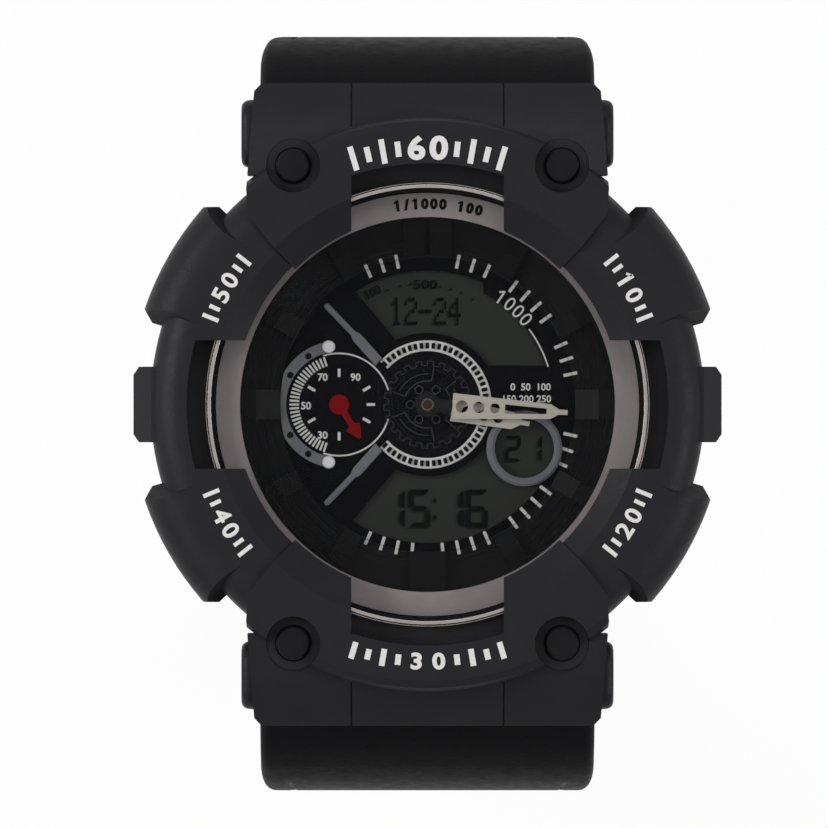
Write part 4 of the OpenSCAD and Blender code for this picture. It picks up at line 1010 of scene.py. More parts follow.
@dataclass
class DialPrint(SubAssembly):
    """Printing and small raised forms on the dial: scales, numerals, studs, ring cells and the gear's outlines."""

    top: float = 7.5
    step_top: float = 8.0
    thick: float = 0.025
    tick_minutes: tuple[int, ...] = (
        2, 3, 4, 6, 7, 8, 9, 11, 12, 13, 17, 18, 19, 21, 22, 23, 24, 26, 27, 28, 29, 31, 32, 33, 34, 56, 57, 58)
    tick_in: float = 12.2
    tick_edge: float = 12.99
    tick_out: float = 13.42
    tick_width: float = 0.28
    small_centre: Point = (-7.75, 0.0)
    small_top: float = 7.65
    small_from: float = 198
    small_span: float = 144
    small_bars: int = 31
    crescent_top: float = 7.95
    pins_px: tuple[Point, ...] = ((308, 356), (290, 375), (290, 435), (308, 454))
    ring_top: float = 7.75
    cells_from: float = 313.5
    cell_pitch: float = 5.8
    cell_count: int = 48
    gear_teeth: int = 22
    gear_radii: Point = (3.46, 3.86)
    gear_line: float = 0.07

    def minute_scale(self) -> None:
        """Prints the ticks over the chapter ring's lowest step, the thin arc and the numerals beside it."""
        marks = Marks(self.top, self.top + self.thick)
        for minute in self.tick_minutes:
            marks.tick(6 * minute, self.tick_in, self.tick_edge + 0.02, self.tick_width)
        marks.arc(11.04, 11.16, 53.4, 72.6)
        marks.figures_on_arc("1000", 11.42, 41.8, 1.25, 4.9, stretch=0.95, weight=0.0)
        marks.figures("0  50  100", (9.05, 1.55), 0.64)
        marks.figures("150 200 250", (8.75, 0.5), 0.64)
        marks.between(self.top, self.step_top + self.thick)
        for minute in self.tick_minutes:
            marks.tick(6 * minute, self.tick_edge, self.tick_out, self.tick_width)
        self.bench.piece("minute_scale", marks.done(), "case", Palette.WHITE)

    def small_scale(self) -> None:
        """Prints the small dial's ring, bars, ticks and numerals."""
        x, y = self.small_centre
        marks = Marks(self.small_top - 0.02, self.small_top + self.thick)
        for start, end in ((32, 148), (-18, 32), (148, 198)):
            marks.arc(4.42, 4.56, start, end, self.small_centre)
        marks.between(self.small_top, self.small_top + self.thick)
        for i in range(self.small_bars):
            turn = self.small_from + i * self.small_span / (self.small_bars - 1)
            marks.tick(turn, 3.52, 4.36, 0.18, self.small_centre)
        for hour in (0, 2, 3, 4, 6, 8, 10):
            marks.tick(30 * hour, 2.42, 3.15, 0.24, self.small_centre)
        for text, across, up in (("70", -1.44, 2.4), ("90", 1.44, 2.4), ("50", -2.9, -0.1), ("30", -1.44, -2.68)):
            marks.figures(text, (x + across, y + up), 0.68, weight=0.03)
        self.bench.piece("small_scale", marks.done(), "case", Palette.WHITE)

    def crescent_studs(self) -> None:
        """Sets the bright studs and the dark pin heads in the small dial's crescent."""
        low = self.crescent_top - 0.02
        studs = Marks(low, self.crescent_top + 0.225)
        for side in (1, -1):
            studs.disc((self.small_centre[0] - 0.92, self.small_centre[1] + side * 5.06), 0.575, 0.48)
        self.bench.piece("crescent_studs", studs.done(), "case", Palette.STUD, 30)
        pins = Marks(low, low)
        for place in self.pins_px:
            pins.between(low, self.crescent_top + 0.03)
            pins.arc(0.14, 0.29, centre=from_px(*place), step=20)
            pins.between(low, self.crescent_top + 0.01)
            pins.disc(from_px(*place), 0.14, sides=12)
        self.bench.piece("crescent_pins", pins.done(), "case", Palette.BLACK, 30)

    def cell_ring(self) -> None:
        """Prints the dark cells of the ring round the middle."""
        cells = Marks(self.small_top, self.ring_top + 0.02)
        turn = self.cells_from
        for _ in range(self.cell_count):
            cells.tick(turn, 4.92, 5.43, 0.32)
            turn += self.cell_pitch
        self.bench.piece("cell_ring", cells.done(), "case", Palette.BLACK)

    def gear_relief(self) -> None:
        """Raises the fine outlines of a gear on the middle disc: teeth, arcs with spokes and six small rings,
        coloured lighter than the dial's black as painted highlights along their edges.
        """
        lines = Marks(self.ring_top - 0.11, self.ring_top + 0.04)
        half = 180 / self.gear_teeth
        inner, outer = self.gear_radii
        for tooth in range(self.gear_teeth):
            start = 2 * half * tooth
            for radius, turn in ((outer, start), (inner, start + half)):
                lines.arc(radius - self.gear_line, radius, turn, turn + half)
            for turn in (start, start + half):
                lines.tick(turn, inner - 0.04, outer - 0.02, self.gear_line)
        for middle in (90, 210, 330):
            for near, far, reach in ((2.02, 2.12, 40), (2.66, 2.74, 32)):
                lines.arc(near, far, middle - reach, middle + reach)
            for side in (-1, 1):
                lines.tick(middle + 40 * side, 2.05, 3.3, 0.08)
        for turn in range(30, 390, 60):
            lines.arc(0.3, 0.39, centre=polar(1.5, turn), step=24)
        self.bench.piece("gear_relief", lines.done(), "case", Palette.EMBOSS_HIGHLIGHT, 30)

    def build(self) -> None:
        """Makes the dial's pieces."""
        for make in (self.minute_scale, self.small_scale, self.crescent_studs, self.cell_ring, self.gear_relief):
            make()


@dataclass
class Display(SubAssembly):
    """What the liquid crystal display shows: the time, the date, a dot row and its scale."""

    top: float = 7.11
    thick: float = 0.02
    stroke: float = 0.5 / 3.4
    gap: float = 0.05
    shadow_shift: Triple = (-0.2, -0.1, -0.015)
    # Each figure of the large rows: its sign, its lower left corner and its width in the photograph's pixels, and
    # its height in millimetres.
    time_px: tuple[tuple[str, float, float, float, float], ...] = (
        ("1", 387, 528.5, 18, 3.4), ("5", 408.5, 528.5, 22, 3.4), ("1", 445, 528.5, 19, 3.4),
        ("6", 465.5, 528.5, 23, 3.4), ("2", 505, 462, 16, 2.3), ("1", 526.5, 462, 16, 2.3))
    colon_px: tuple[Point, ...] = ((435, 500.5), (435, 517.5))
    scale_px: tuple[Point, ...] = (
        (388, 289.5), (400, 285.6), (410, 284), (441, 286.2), (451, 289), (462, 292.5), (473.5, 299))
    dot_text: str = "12-24"
    dot_at_px: Point = (391.5, 299)
    dot_pitch_px: Point = (2.5, 4)
    dot_figure_pitch_px: float = 14.6
    dot_size: Point = (0.2, 0.33)
    dots: dict[str, tuple[str, ...]] = field(default_factory=lambda: {
        "1": ("00100", "01100", "00100", "00100", "00100", "00100", "01110"),
        "2": ("01110", "10001", "00001", "00110", "01000", "10000", "11111"),
        "4": ("00010", "00110", "01010", "10010", "11111", "00010", "00010"),
        "-": ("00000", "00000", "00000", "11111", "00000", "00000", "00000")})
    segments: dict[str, str] = field(default_factory=lambda: {"1": "bc", "2": "abged", "5": "afgcd", "6": "afgecd"})

    def digit(self, marks: Marks, sign: str, at: Point, w: float, h: float) -> None:
        """Adds a seven-segment figure.

        Args:
            marks: the shapes to add to.
            sign: the figure.
            at: its lower left corner.
            w: its width.
            h: its height.
        """
        s, gap, mid = self.stroke * h, self.gap, h / 2
        shapes = {
            "a": [(gap, h), (w - gap, h), (w - s, h - s), (s, h - s)],
            "b": [(w, h - gap), (w, mid + gap), (w - s, mid + s / 2), (w - s, h - s)],
            "c": [(w, mid - gap), (w, gap), (w - s, s), (w - s, mid - s / 2)],
            "d": [(gap, 0), (s, s), (w - s, s), (w - gap, 0)],
            "e": [(0, gap), (0, mid - gap), (s, mid - s / 2), (s, s)],
            "f": [(0, mid + gap), (0, h - gap), (s, h - s), (s, mid + s / 2)],
            "g": [(s / 2, mid), (s, mid + s / 2), (w - s, mid + s / 2), (w - s / 2, mid), (w - s, mid - s / 2),
                  (s, mid - s / 2)],
        }
        for name in self.segments[sign]:
            marks.plate([(at[0] + x, at[1] + y) for x, y in shapes[name]])

    def dot_row(self, marks: Marks) -> None:
        """Adds the row of dot figures and the small scale over it.

        Args:
            marks: the shapes to add to.
        """
        (left, top), (across, down) = self.dot_at_px, self.dot_pitch_px
        for place, sign in enumerate(self.dot_text):
            start = left + place * self.dot_figure_pitch_px
            for row, line in enumerate(self.dots[sign]):
                for column, dot in enumerate(line):
                    if dot == "1":
                        marks.bar(from_px(start + column * across, top + row * down), *self.dot_size)
        marks.figures("100", from_px(373, 291.5), 0.8, -27, weight=0.03)
        marks.figures("500", from_px(425.5, 284), 0.8, stretch=1.35)
        for place in self.scale_px:
            marks.disc(from_px(*place), 0.11, sides=10)

    def build(self) -> None:
        """Makes the dark figures and the soft shadows that they throw on the film."""
        for name, finish, shift in (("display_figures", Palette.SEGMENT, (0, 0, 0)),
                                    ("display_shadows", Palette.SHADOW, self.shadow_shift)):
            marks = Marks(self.top, self.top + self.thick)
            for sign, x, y, wide, high in self.time_px:
                self.digit(marks, sign, from_px(x, y), wide * MM_PER_PX, high)
            for place in self.colon_px:
                marks.bar(from_px(*place), 0.32, 0.42)
            self.dot_row(marks)
            bmesh.ops.translate(marks.mesh, verts=marks.mesh.verts, vec=Vector(shift) * MM)
            self.bench.piece(name, marks.done(), "case", finish)


@dataclass(frozen=True)
class BezelRow:
    """Sizes of a numeral pair on the bezel and of the bars on both sides of it."""

    radius: float
    pitch: float
    stretch: float
    weight: float
    bar_from: float
    bar_pitch: float
    bar_width: float


@dataclass
class Lettering(SubAssembly):
    """Plain minute numerals on the bezel and numerals on the dial ring, in the printed labels' places."""

    raised_top: float = 15.0
    side_top: float = 14.5
    ring_top: float = 10.9
    thick: float = 0.06
    sunk: float = 0.03
    crown: BezelRow = BezelRow(22.35, 5.0, 1.15, 0.04, 6.6, 3.4, 0.5)
    side: BezelRow = BezelRow(20.35, 4.2, 1.1, 0.03, 5.6, 2.6, 0.36)
    short_bar: float = 0.31
    side_height: float = 1.55
    side_bars: Point = (0.5, 0.75)

    def row(self, marks: Marks, kind: BezelRow, text: str, middle: float, height: float,
            halves: tuple[float, ...]) -> None:
        """Adds a numeral pair with bars on both sides of it.

        Args:
            marks: the shapes to add to.
            kind: the row's sizes.
            text: the numerals.
            middle: the row's middle turn.
            height: the numerals' height.
            halves: half of the length of each bar, from the nearest one outwards.
        """
        radius, inward = kind.radius, 90 < middle < 270
        marks.figures_on_arc(text, radius, middle, height, kind.pitch, inward, kind.stretch, kind.weight)
        for side in (-1, 1):
            for i, half in enumerate(halves):
                turn = middle + side * (kind.bar_from + kind.bar_pitch * i)
                marks.tick(turn, radius - half, radius + half, kind.bar_width)

    def build(self) -> None:
        """Makes the printed numerals."""
        marks = Marks(self.raised_top - self.sunk, self.raised_top + self.thick)
        for text, middle, height in (("60", 0, 2.15), ("30", 180, 1.5)):
            self.row(marks, self.crown, text, middle, height, (self.short_bar * height, height / 2) * 2)
        marks.between(self.side_top - self.sunk, self.side_top + self.thick)
        for text, middle in (("10", 60), ("20", 120.5), ("40", 239.5), ("50", 300)):
            self.row(marks, self.side, text, middle, self.side_height, self.side_bars)
        self.bench.piece("bezel_numerals", marks.done(), "case", Palette.WHITE)
        row = Marks(self.ring_top - 0.01, self.ring_top + 0.025)
        row.figures_on_arc("1/1000 100", 17.55, 3.1, 0.98, 2.6, weight=0.07)
        self.bench.piece("ring_numerals", row.done(), "case", Palette.BLACK)


@dataclass
class CaseShells(SubAssembly):
    """Case, bezel and the pieces on them, with the soft edges that moulding and polishing leave."""

    bezel_round: float = 0.14
    case_round: float = 0.12
    button_round: float = 0.1
    crystal_radius: float = 18.6
    crystal_low: float = 10.95
    crystal_top: float = 12.6
    crystal_edge: float = 0.25
    guard_turns: tuple[float, ...] = (60, 120, 240, 300)
    guard_half: float = 13.5
    guard_radius: float = 26.1
    guard_chamfer: float = 0.72
    guard_block: Point = (2.4, 3.0)
    guard_heights: Point = (0.5, 16.0)
    boss_at: Point = (11.7, 20.8)
    seat_ring: Point = (1.6, 2.33)
    seat_heights: Point = (13.15, 13.7)
    cap_inner: float = 14.5
    cap_pin: Point = (23.8, 5.5)
    cap_end: float = 1.9
    cap_straight: float = 1.1
    cap_edge: tuple[Point, ...] = (
        (0, 0), (1.0, 0), (1.35, 0.05), (1.57, 0.15), (1.73, 0.3), (1.82, 0.48), (1.85, 0.7))

    def crystal(self) -> None:
        """Makes the crystal: a clear disc with a bevelled rim, a hair above the ring that it is set on."""
        glass = Marks(self.crystal_low, self.crystal_top - self.crystal_edge)
        glass.disc((0, 0), self.crystal_radius, sides=128)
        top = max(glass.mesh.faces, key=lambda face: face.calc_center_median().z)
        bmesh.ops.inset_region(glass.mesh, faces=[top], thickness=self.crystal_edge * MM, depth=0)
        bmesh.ops.translate(glass.mesh, verts=top.verts, vec=(0, 0, self.crystal_edge * MM))
        self.bench.piece("crystal_glass", glass.done(), "case", Palette.GLASS, 20, "crystal")

    def guard_tool(self) -> Mesh:
        """Makes the blocks that cut the upright outer corners of the four button guards.

        Returns:
            The blocks' mesh.
        """
        blocks, (wide, long) = Marks(*self.guard_heights), self.guard_block
        for middle in self.guard_turns:
            for side in (-1, 1):
                outward = middle + side * (self.guard_half + 45)
                x, y = polar(self.guard_radius, middle + side * self.guard_half)
                across, up = polar(long / 2 - self.guard_chamfer, outward)
                blocks.bar((x + across, y + up), wide, long, outward)
        return blocks.done()

    def boss_seats(self) -> None:
        """Makes the shallow ring round each corner plug."""
        rings = Marks(*self.seat_heights)
        for side, end in CORNERS:
            rings.arc(*self.seat_ring, centre=(side * self.boss_at[0], end * self.boss_at[1]), step=6)
        self.bench.piece("boss_seats", rings.done(), "case", Palette.BEZEL, 30)

    def caps(self) -> None:
        """Makes the four caps over the strap pins, each with a rounded outer edge."""
        whole = bmesh.new()
        for side, end in CORNERS:
            middle = Vector((side * self.cap_inner, end * self.cap_pin[0], self.cap_pin[1]))
            part = mesh_data("cap", swept([
                [middle + Vector((side * out, y + math.copysign(self.cap_straight, y), z))
                 for y, z in circle(self.cap_end - inset, 40)] for out, inset in self.cap_edge]))
            whole.from_mesh(part)
            bpy.data.meshes.remove(part)
        self.bench.piece("strap_pin_cap_shells", whole, "case", Palette.CAP, 32, "strap_pin_caps")

    def build(self) -> None:
        """Makes the shells and coats the nodes that stay."""
        bench = self.bench
        bench.soften("bezel", "case", Palette.BEZEL, self.bezel_round, tool=self.guard_tool())
        bench.soften("case_body", "case", Palette.HOOD, self.case_round)
        bench.soften("bezel_corner_plugs", "case", Palette.PLUG_SHADED, 0.06)
        self.caps()
        self.boss_seats()
        bench.soften("rim_ring", "case", Palette.RIM, 0.03)
        bench.soften("case_back", "case", Palette.SATIN, 0.08)
        self.crystal()
        for hour in (2, 4, 8, 10):
            bench.soften(f"pusher_{hour}", f"button_{hour}", Palette.CAP, self.button_round)
            bench.coat(Palette.BRIGHT, f"pusher_spring_{hour}")
            bench.coat(Palette.DRAWN, f"pusher_clip_{hour}")
        bench.coat(Palette.RUBBER, "case_back_gasket", "crystal_gasket", "pusher_seals")
        bench.coat(Palette.BRIGHT, "case_back_screws")
        bench.coat(Palette.RING, "dial_ring")
        bench.coat(Palette.DRAWN, "strap_pins")


@dataclass
class Movement(SubAssembly):
    """Finishes of the module inside the case, and the caps over the hands' hubs."""

    hub_low: float = 9.14
    small_hub: Point = (-7.75, 0.0)
    small_hub_low: float = 7.99

    def hubs(self) -> None:
        """Makes the collar with its bronze middle on the hands' hub, and the small hand's red cap."""
        collar = Marks(self.hub_low - 0.14, self.hub_low + 0.06)
        collar.arc(0.42, 0.54, step=12)
        self.bench.piece("hub_collar", collar.done(), "minute_works", Palette.COLLAR, 30)
        middle = Marks(self.hub_low, self.hub_low + 0.04)
        middle.disc((0, 0), 0.43, 0.4)
        self.bench.piece("hub_middle", middle.done(), "minute_works", Palette.BRONZE, 30)
        cap = Marks(self.small_hub_low, self.small_hub_low + 0.08)
        cap.disc(self.small_hub, 0.6, 0.5)
        self.bench.piece("small_hub_cap", cap.done(), "small_hand", Palette.RED, 30)

    def build(self) -> None:
        """Coats the module's nodes, and softens those that are seen through the crystal."""
        coat, soften = self.bench.coat, self.bench.soften
        coat(Palette.DIAL, "dial_plate", "subdial_disc")
        coat(Palette.FILM, "lcd_panel")
        coat(Palette.WHITE, "segment_ring")
        coat(Palette.RED, "subdial_hand")
        coat(Palette.BRASS, "hour_wheel", "cannon_pinion", "minute_wheel", "piezo_disc")
        coat(Palette.BRIGHT, "subdial_arbor", "rotor", "subdial_rotor")
        coat(Palette.SATIN, "battery", "stator_plates")
        coat(Palette.DRAWN, "battery_clip")
        coat(Palette.FRAME, "module_frame")
        coat(Palette.BOARD, "circuit_board")
        coat(Palette.COPPER, "motor_coils")
        coat(Palette.SILICONE, "contact_strips")
        coat(Palette.LAMP, "led_lamp")
        soften("chapter_ring", "case", Palette.CHAPTER, 0.08)
        soften("center_gear_disc", "case", Palette.GEAR, 0.05)
        soften("subdial_crescent", "case", Palette.APPLIED, 0.06)
        soften("caliper_arms", "case", Palette.APPLIED, 0.06)
        soften("date_ring", "case", Palette.APPLIED, 0.05)
        soften("hour_hand", "hour_works", Palette.HAND, 0.04)
        soften("minute_hand", "minute_works", Palette.HAND, 0.04)
        self.hubs()


@dataclass(frozen=True)
class Step:
    """A shallow groove or channel across a band, between two distances from its pin."""

    start: float
    end: float
    depth: float = 0.3


def row_of_steps(start: float, pitch: float, width: float, count: int) -> tuple[Step, ...]:
    """Gives a row of even grooves, the first one at a distance from the pin."""
    return tuple(Step(start + i * pitch, start + i * pitch + width) for i in range(count))


def half_chord(radius: float, past: float) -> float:
    """Gives half of a circle's chord at a distance from its middle, 0 outside it."""
    return math.sqrt(max(0.0, radius ** 2 - past ** 2))


@dataclass
class Band(SubAssembly):
    """One strap half as it is moulded: round edges, border lines, sweat channels and lined holes.

    Knots are points of its centre line in Y and Z, drawn for 12 o'clock. Widths are heights with half of the width
    there. A half without a foot's radius has a round tip.
    """

    name: str
    node: str
    body: str
    knots: tuple[Point, ...]
    widths: tuple[Point, ...]
    grooves: tuple[Step, ...]
    channels: tuple[Step, ...]
    mirrored: bool = False
    foot_radius: float = 0.0
    root_radius: float = 2.35
    thick: float = 4.36
    thin: float = 2.96
    thin_knot: int = 4
    knot_steps: int = 8
    line_from: float = 12.0
    line_fade: float = 2.0
    line_depth: float = 0.28
    line_in: tuple[float, ...] = (2.75, 2.6, 2.2, 2.05)
    channel_in: Point = (3.0, 3.25)
    edge: float = 0.9
    inner_edge: float = 0.6
    tip_y: float = -29.46
    tip_round: float = 7.0
    end_radius: float = 1.2
    step_slope: float = 0.07
    pitch: float = 0.8
    clear: float = 0.2

    def centre_line(self) -> list[tuple[Vector, float]]:
        """Runs a smooth curve through the knots.

        Returns:
            Its points in Y and Z with the band's thickness at each.
        """
        knots = [Vector(knot) for knot in self.knots]
        last = len(knots) - 1
        line = []
        for i in range(last):
            a, b, c, d = knots[max(0, i - 1)], knots[i], knots[i + 1], knots[min(last, i + 2)]
            for step in range(self.knot_steps):
                t = step / self.knot_steps
                point = 0.5 * (2 * b + (c - a) * t + (2 * a - 5 * b + 4 * c - d) * t ** 2
                               + (3 * b - a - 3 * c + d) * t ** 3)
                line.append((point, self.thickness(i + t)))
        line.append((knots[last], self.thickness(last)))
        return line

    def thickness(self, place: float) -> float:
        """Gives the band's thickness at a place on the centre line, counted in knots."""
        return self.thick + (self.thin - self.thick) * min(1.0, place / self.thin_knot)

    def half_width(self, y: float, z: float) -> float:
        """Gives half of the band's width.

        Args:
            y: distance from the case's middle line.
            z: height.

        Returns:
            Half of the width there, less at the round tip.
        """
        half = self.widths[0][1] if z > self.widths[0][0] else self.widths[-1][1]
        for (high, wide), (low, narrow) in zip(self.widths, self.widths[1:]):
            if low <= z <= high:
                half = narrow + (wide - narrow) * (z - low) / (high - low)
        past = self.tip_y + self.tip_round - y
        if past > 0:
            half += half_chord(self.tip_round, min(past, self.tip_round)) - self.tip_round
        return half

    def stations(self, length: float) -> list[float]:
        """Lists the places of the outlines along the band, closer where its form changes.

        Args:
            length: the centre line's length.

        Returns:
            Distances from the pin, in order.
        """
        places = {at + shift for step in self.grooves + self.channels for at in (step.start, step.end)
                  for shift in (-self.step_slope, self.step_slope)}
        for turn in range(10, 91, 16):
            share = math.cos(math.radians(turn))
            end = self.foot_radius * share if self.foot_radius else self.end_radius * (share - 1)
            places |= {-self.root_radius * share, length + end}
        if not self.foot_radius:
            places |= {length - self.tip_round + polar(self.tip_round, turn)[0] for turn in range(9, 80, 9)}
        places = {round(place, 3) for place in places}
        place = 0.5
        while place < length - 1.5:
            if all(abs(place - other) > self.clear for other in places):
                places.add(round(place, 3))
            place += self.pitch
        return sorted(places)

    def half_thickness(self, place: float, length: float, half: float) -> float:
        """Gives half of the thickness with its round ends.

        Args:
            place: distance from the pin.
            length: the centre line's length.
            half: half of the plain band's thickness there.

        Returns:
            Half of the thickness.
        """
        root, past = half_chord(self.root_radius, place), place - length
        if place < 0:
            return root
        if self.foot_radius:
            foot = half_chord(self.foot_radius, past)
            half = foot if past > 0 else max(half, foot)
        elif past > -self.end_radius:
            half += half_chord(self.end_radius, self.end_radius + past) - self.end_radius
        return max(half, root)

    def outline(self, wide: float, high: float, dip: float, channel: float, line: float) -> list[Point]:
        """Draws the band's cross-section.

        Args:
            wide: half of its width.
            high: half of its thickness.
            dip: depth of a groove across the outer face.
            channel: depth of a channel across the inner face.
            line: depth of the border lines.

        Returns:
            Points across and outwards, once round.
        """
        outer, inner = min(self.edge, 0.8 * high), min(self.inner_edge, 0.7 * high)
        top, floor, border, flat = high - dip, -high + channel, high - max(dip, line), 0.4 * wide
        right = [(0.0, top), (flat, top)]
        right += [(wide - shift, z) for shift, z in zip(self.line_in, (top, border, border, high - dip / 2))]
        for turn in range(0, 91, 18):
            x, z = polar(outer, turn)
            right.append((wide - outer + x, high - outer + z))
        for turn in range(90, 181, 30):
            x, z = polar(inner, turn)
            right.append((wide - inner + x, -high + inner + z))
        right += [(wide - shift, z) for shift, z in zip(self.channel_in, (-high, floor))]
        right += [(flat, floor), (0.0, floor)]
        return right + [(-x, z) for x, z in reversed(right[1:-1])]

    def sections(self) -> list[list[Vector]]:
        """Sets the cross-sections along the centre line.

        Returns:
            The points of each.
        """
        line = self.centre_line()
        gaps = [(b[0] - a[0]).length for a, b in zip(line, line[1:])]
        marks = [0.0]
        for gap in gaps:
            marks.append(marks[-1] + gap)
        length, last = marks[-1], len(line) - 1
        ways = [(line[min(last, i + 1)][0] - line[max(0, i - 1)][0]).normalized() for i in range(last + 1)]
        rows = []
        for place in self.stations(length):
            i = min(last - 1, max(0, sum(mark <= place for mark in marks) - 1))
            t = min(1.0, max(0.0, (place - marks[i]) / gaps[i]))
            way = ways[i].lerp(ways[i + 1], t).normalized()
            spot = line[i][0].lerp(line[i + 1][0], t) + way * (min(0.0, place) + max(0.0, place - length))
            plain = line[i][1] + (line[i + 1][1] - line[i][1]) * t
            dip, channel = (max((step.depth for step in steps if step.start < place < step.end), default=0.0)
                            for steps in (self.grooves, self.channels))
            fade = math.prod(min(1.0, max(0.0, past / self.line_fade))
                             for past in (place - self.line_from, length - self.line_fade - place))
            shape = self.outline(self.half_width(*spot), self.half_thickness(place, length, plain / 2), dip, channel,
                                 self.line_depth * fade)
            rows.append([Vector((x, spot.x - way.y * z, spot.y + way.x * z)) for x, z in shape])
        return rows

    def build(self, tools: list[Mesh]) -> None:
        """Makes the half.

        Args:
            tools: meshes that are cut out of it, drawn for 12 o'clock.
        """
        mesh = carved(swept(self.sections()), tools)
        if self.mirrored:
            bmesh.ops.scale(mesh, vec=(1, -1, 1), verts=mesh.verts)
        bmesh.ops.recalc_face_normals(mesh, faces=mesh.faces)
        self.bench.piece(self.name, mesh, self.body, Palette.STRAP, 32, self.node)


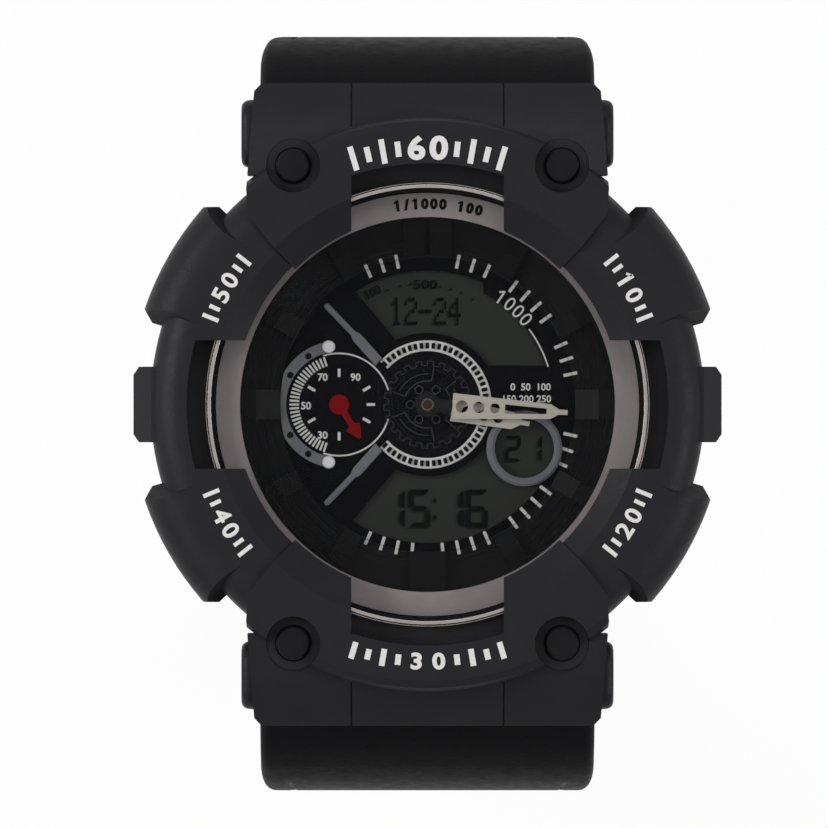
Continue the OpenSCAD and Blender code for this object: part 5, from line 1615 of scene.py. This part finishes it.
@dataclass
class Strap(SubAssembly):
    """Strap halves, keeper and buckle."""

    pin: Point = (23.8, 5.5)
    bore: float = 0.95
    arm_in: float = 12.95
    arm_clear: float = 2.9
    arm_depth: float = 5.0
    centre_half: float = 2.4
    centre_clear: float = 2.7
    wide: float = 29.46
    narrow: float = 23.96
    buckle_at: Point = (19.0, -43.5)
    buckle_bore: float = 0.75
    buckle_half: float = 10.0
    buckle_clear: float = 2.4
    slot_half: float = 1.5
    slot_clear: float = 2.2
    slot_mouth: tuple[Point, ...] = ((0, 0), (4, -2), (4, 1.4))
    hole_radius: float = 1.25
    hole_reach: float = 1.48
    hole_chamfer: float = 0.3
    hole_first: float = 4.0
    hole_pitch: float = 5.5
    hole_count: int = 6
    foot_z: float = -62.5
    keeper_at: Point = (29.2, -20.0)
    keeper_tilt: float = -11.31
    keeper_half: Point = (12.25, 1.75)
    keeper_corner: float = 0.2
    keeper_wall: float = 1.3
    keeper_length: float = 7.0

    def root_tools(self) -> list[Mesh]:
        """Makes the tools that clear the pin and the case's lugs.

        Returns:
            The tools, drawn for 12 o'clock.
        """
        out, clear = self.wide, self.arm_clear
        block = [(-self.arm_depth, -clear), (0, -clear), (0, clear), (-self.arm_depth, clear)]
        tools = [bar_along_x(circle(self.bore), self.pin, -out, out),
                 bar_along_x(circle(self.centre_clear), self.pin, -self.centre_half, self.centre_half)]
        for start, end in ((self.arm_in, out), (-out, -self.arm_in)):
            tools += [bar_along_x(shape, self.pin, start, end) for shape in (circle(clear), block)]
        return tools

    def foot_tools(self) -> list[Mesh]:
        """Makes the tools for the buckle's pin, bars and tongue.

        Returns:
            The tools.
        """
        out, slot, bar = self.wide, self.slot_half, circle(self.buckle_clear)
        spans = ((circle(self.buckle_bore), -out, out), (circle(self.slot_clear), -slot, slot),
                 (self.slot_mouth, -slot, slot), (bar, self.buckle_half, out), (bar, -out, -self.buckle_half))
        return [bar_along_x(shape, self.buckle_at, start, end) for shape, start, end in spans]

    def half(self, name: str, knots: tuple[Point, ...], heights: tuple[float, ...], groove: float, channels: int,
             **sizes: float) -> Band:
        """Gives a strap half.

        Args:
            name: upper or lower.
            knots: points of its centre line.
            heights: heights from which its width goes down in two steps.
            groove: distance of its grooves from the pin.
            channels: number of its channels.
            sizes: the band's other sizes.

        Returns:
            The half, not yet made.
        """
        wide, narrow = self.wide / 2, self.narrow / 2
        widths = tuple(zip(heights, (wide, wide - 0.16 * (wide - narrow), narrow, narrow)))
        return Band(self.bench, f"strap_{name}_band", f"strap_{name}", f"{name}_strap", knots, widths,
                    row_of_steps(groove, 2.2, 0.9, 5), row_of_steps(14.0, 3.4, 1.5, channels), **sizes)

    def upper(self) -> Band:
        """Gives the half at 12 o'clock, which carries the buckle.

        Returns:
            The half, not yet made.
        """
        knots = (self.pin, (26.8, 3.2), (29.6, -0.4), (31, -5), (31.2, -10), (30.4, -14), (29.6, -18), (28.8, -22),
                 (28, -26), (27.2, -30), (25.8, -34.5), (23, -39.5), self.buckle_at)
        return self.half("upper", knots, (0, -5, -13, -64), 34.5, 9, foot_radius=1.85)

    def lower(self) -> Band:
        """Gives the half at 6 o'clock, which carries the holes.

        Returns:
            The half, not yet made.
        """
        foot = tuple((y, self.foot_z) for y in (1, -10, -20, -29.46))
        knots = (self.pin, (27.1, 3.4), (30.5, 0.1), (32.4, -5), (33.1, -13), (33.1, -23), (32.2, -33.5), (29.4, -44),
                 (24.4, -53), (17, -59.4), (8.5, -62.2)) + foot
        return self.half("lower", knots, (-2, -12, -34, -64), 62.0, 19, mirrored=True)

    def keeper(self) -> None:
        """Makes the keeper: a loop with round edges and two grooves round it."""
        wall, half = self.keeper_wall, self.keeper_length / 2
        profile = [(0.0, -half + 0.3), (0.3, -half), (wall - 0.45, -half), (wall - 0.13, -half + 0.13),
                   (wall, -half + 0.45), (wall, -1.35), (wall - 0.3, -1.2), (wall - 0.3, -0.8), (wall, -0.65)]
        profile += [(depth, -along) for depth, along in reversed(profile)]
        across, thick = (size - self.keeper_corner for size in self.keeper_half)
        turned = Matrix.Rotation(math.radians(self.keeper_tilt), 3, "X")
        middle = Vector((0, *self.keeper_at))
        rows = []
        for corner, (sx, sy) in enumerate(((1, 1), (-1, 1), (-1, -1), (1, -1))):
            for turn in range(0, 91, 15):
                a = math.radians(90 * corner + turn)
                way = Vector((math.cos(a), math.sin(a), 0))
                foot = Vector((sx * across, sy * thick, 0)) + self.keeper_corner * way
                rows.append([middle + turned @ (foot + depth * way + Vector((0, 0, along)))
                             for depth, along in profile])
        self.bench.piece("keeper_band", swept(rows, joined=True), "keeper", Palette.STRAP, 40, "keeper_loop")

    def build(self) -> None:
        """Makes the strap's pieces."""
        self.upper().build(self.root_tools() + self.foot_tools())
        places = [(self.hole_first - i * self.hole_pitch, self.foot_z) for i in range(self.hole_count)]
        holes = [hole_tool(place, self.hole_radius, self.hole_reach, self.hole_chamfer) for place in places]
        self.lower().build(self.root_tools() + holes)
        self.keeper()
        self.bench.soften("buckle_frame", "buckle", Palette.SATIN, 0.25, 30, 3)
        self.bench.soften("buckle_tongue", "tongue", Palette.SATIN, 0.18, 30, 3)
        self.bench.coat(Palette.DRAWN, "buckle_pin")


def main() -> None:
    """Builds the watch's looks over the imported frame."""
    logging.basicConfig(level=logging.INFO, format="%(name)s: %(message)s")
    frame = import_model()
    cad_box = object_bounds()
    Studio().build(cad_box[0][2])
    bench = Bench(frame["nodes"])
    for kind in (CaseShells, Movement, DialPrint, Display, Lettering, Strap):
        kind(bench).build()


if __name__ == "__main__":
    main()
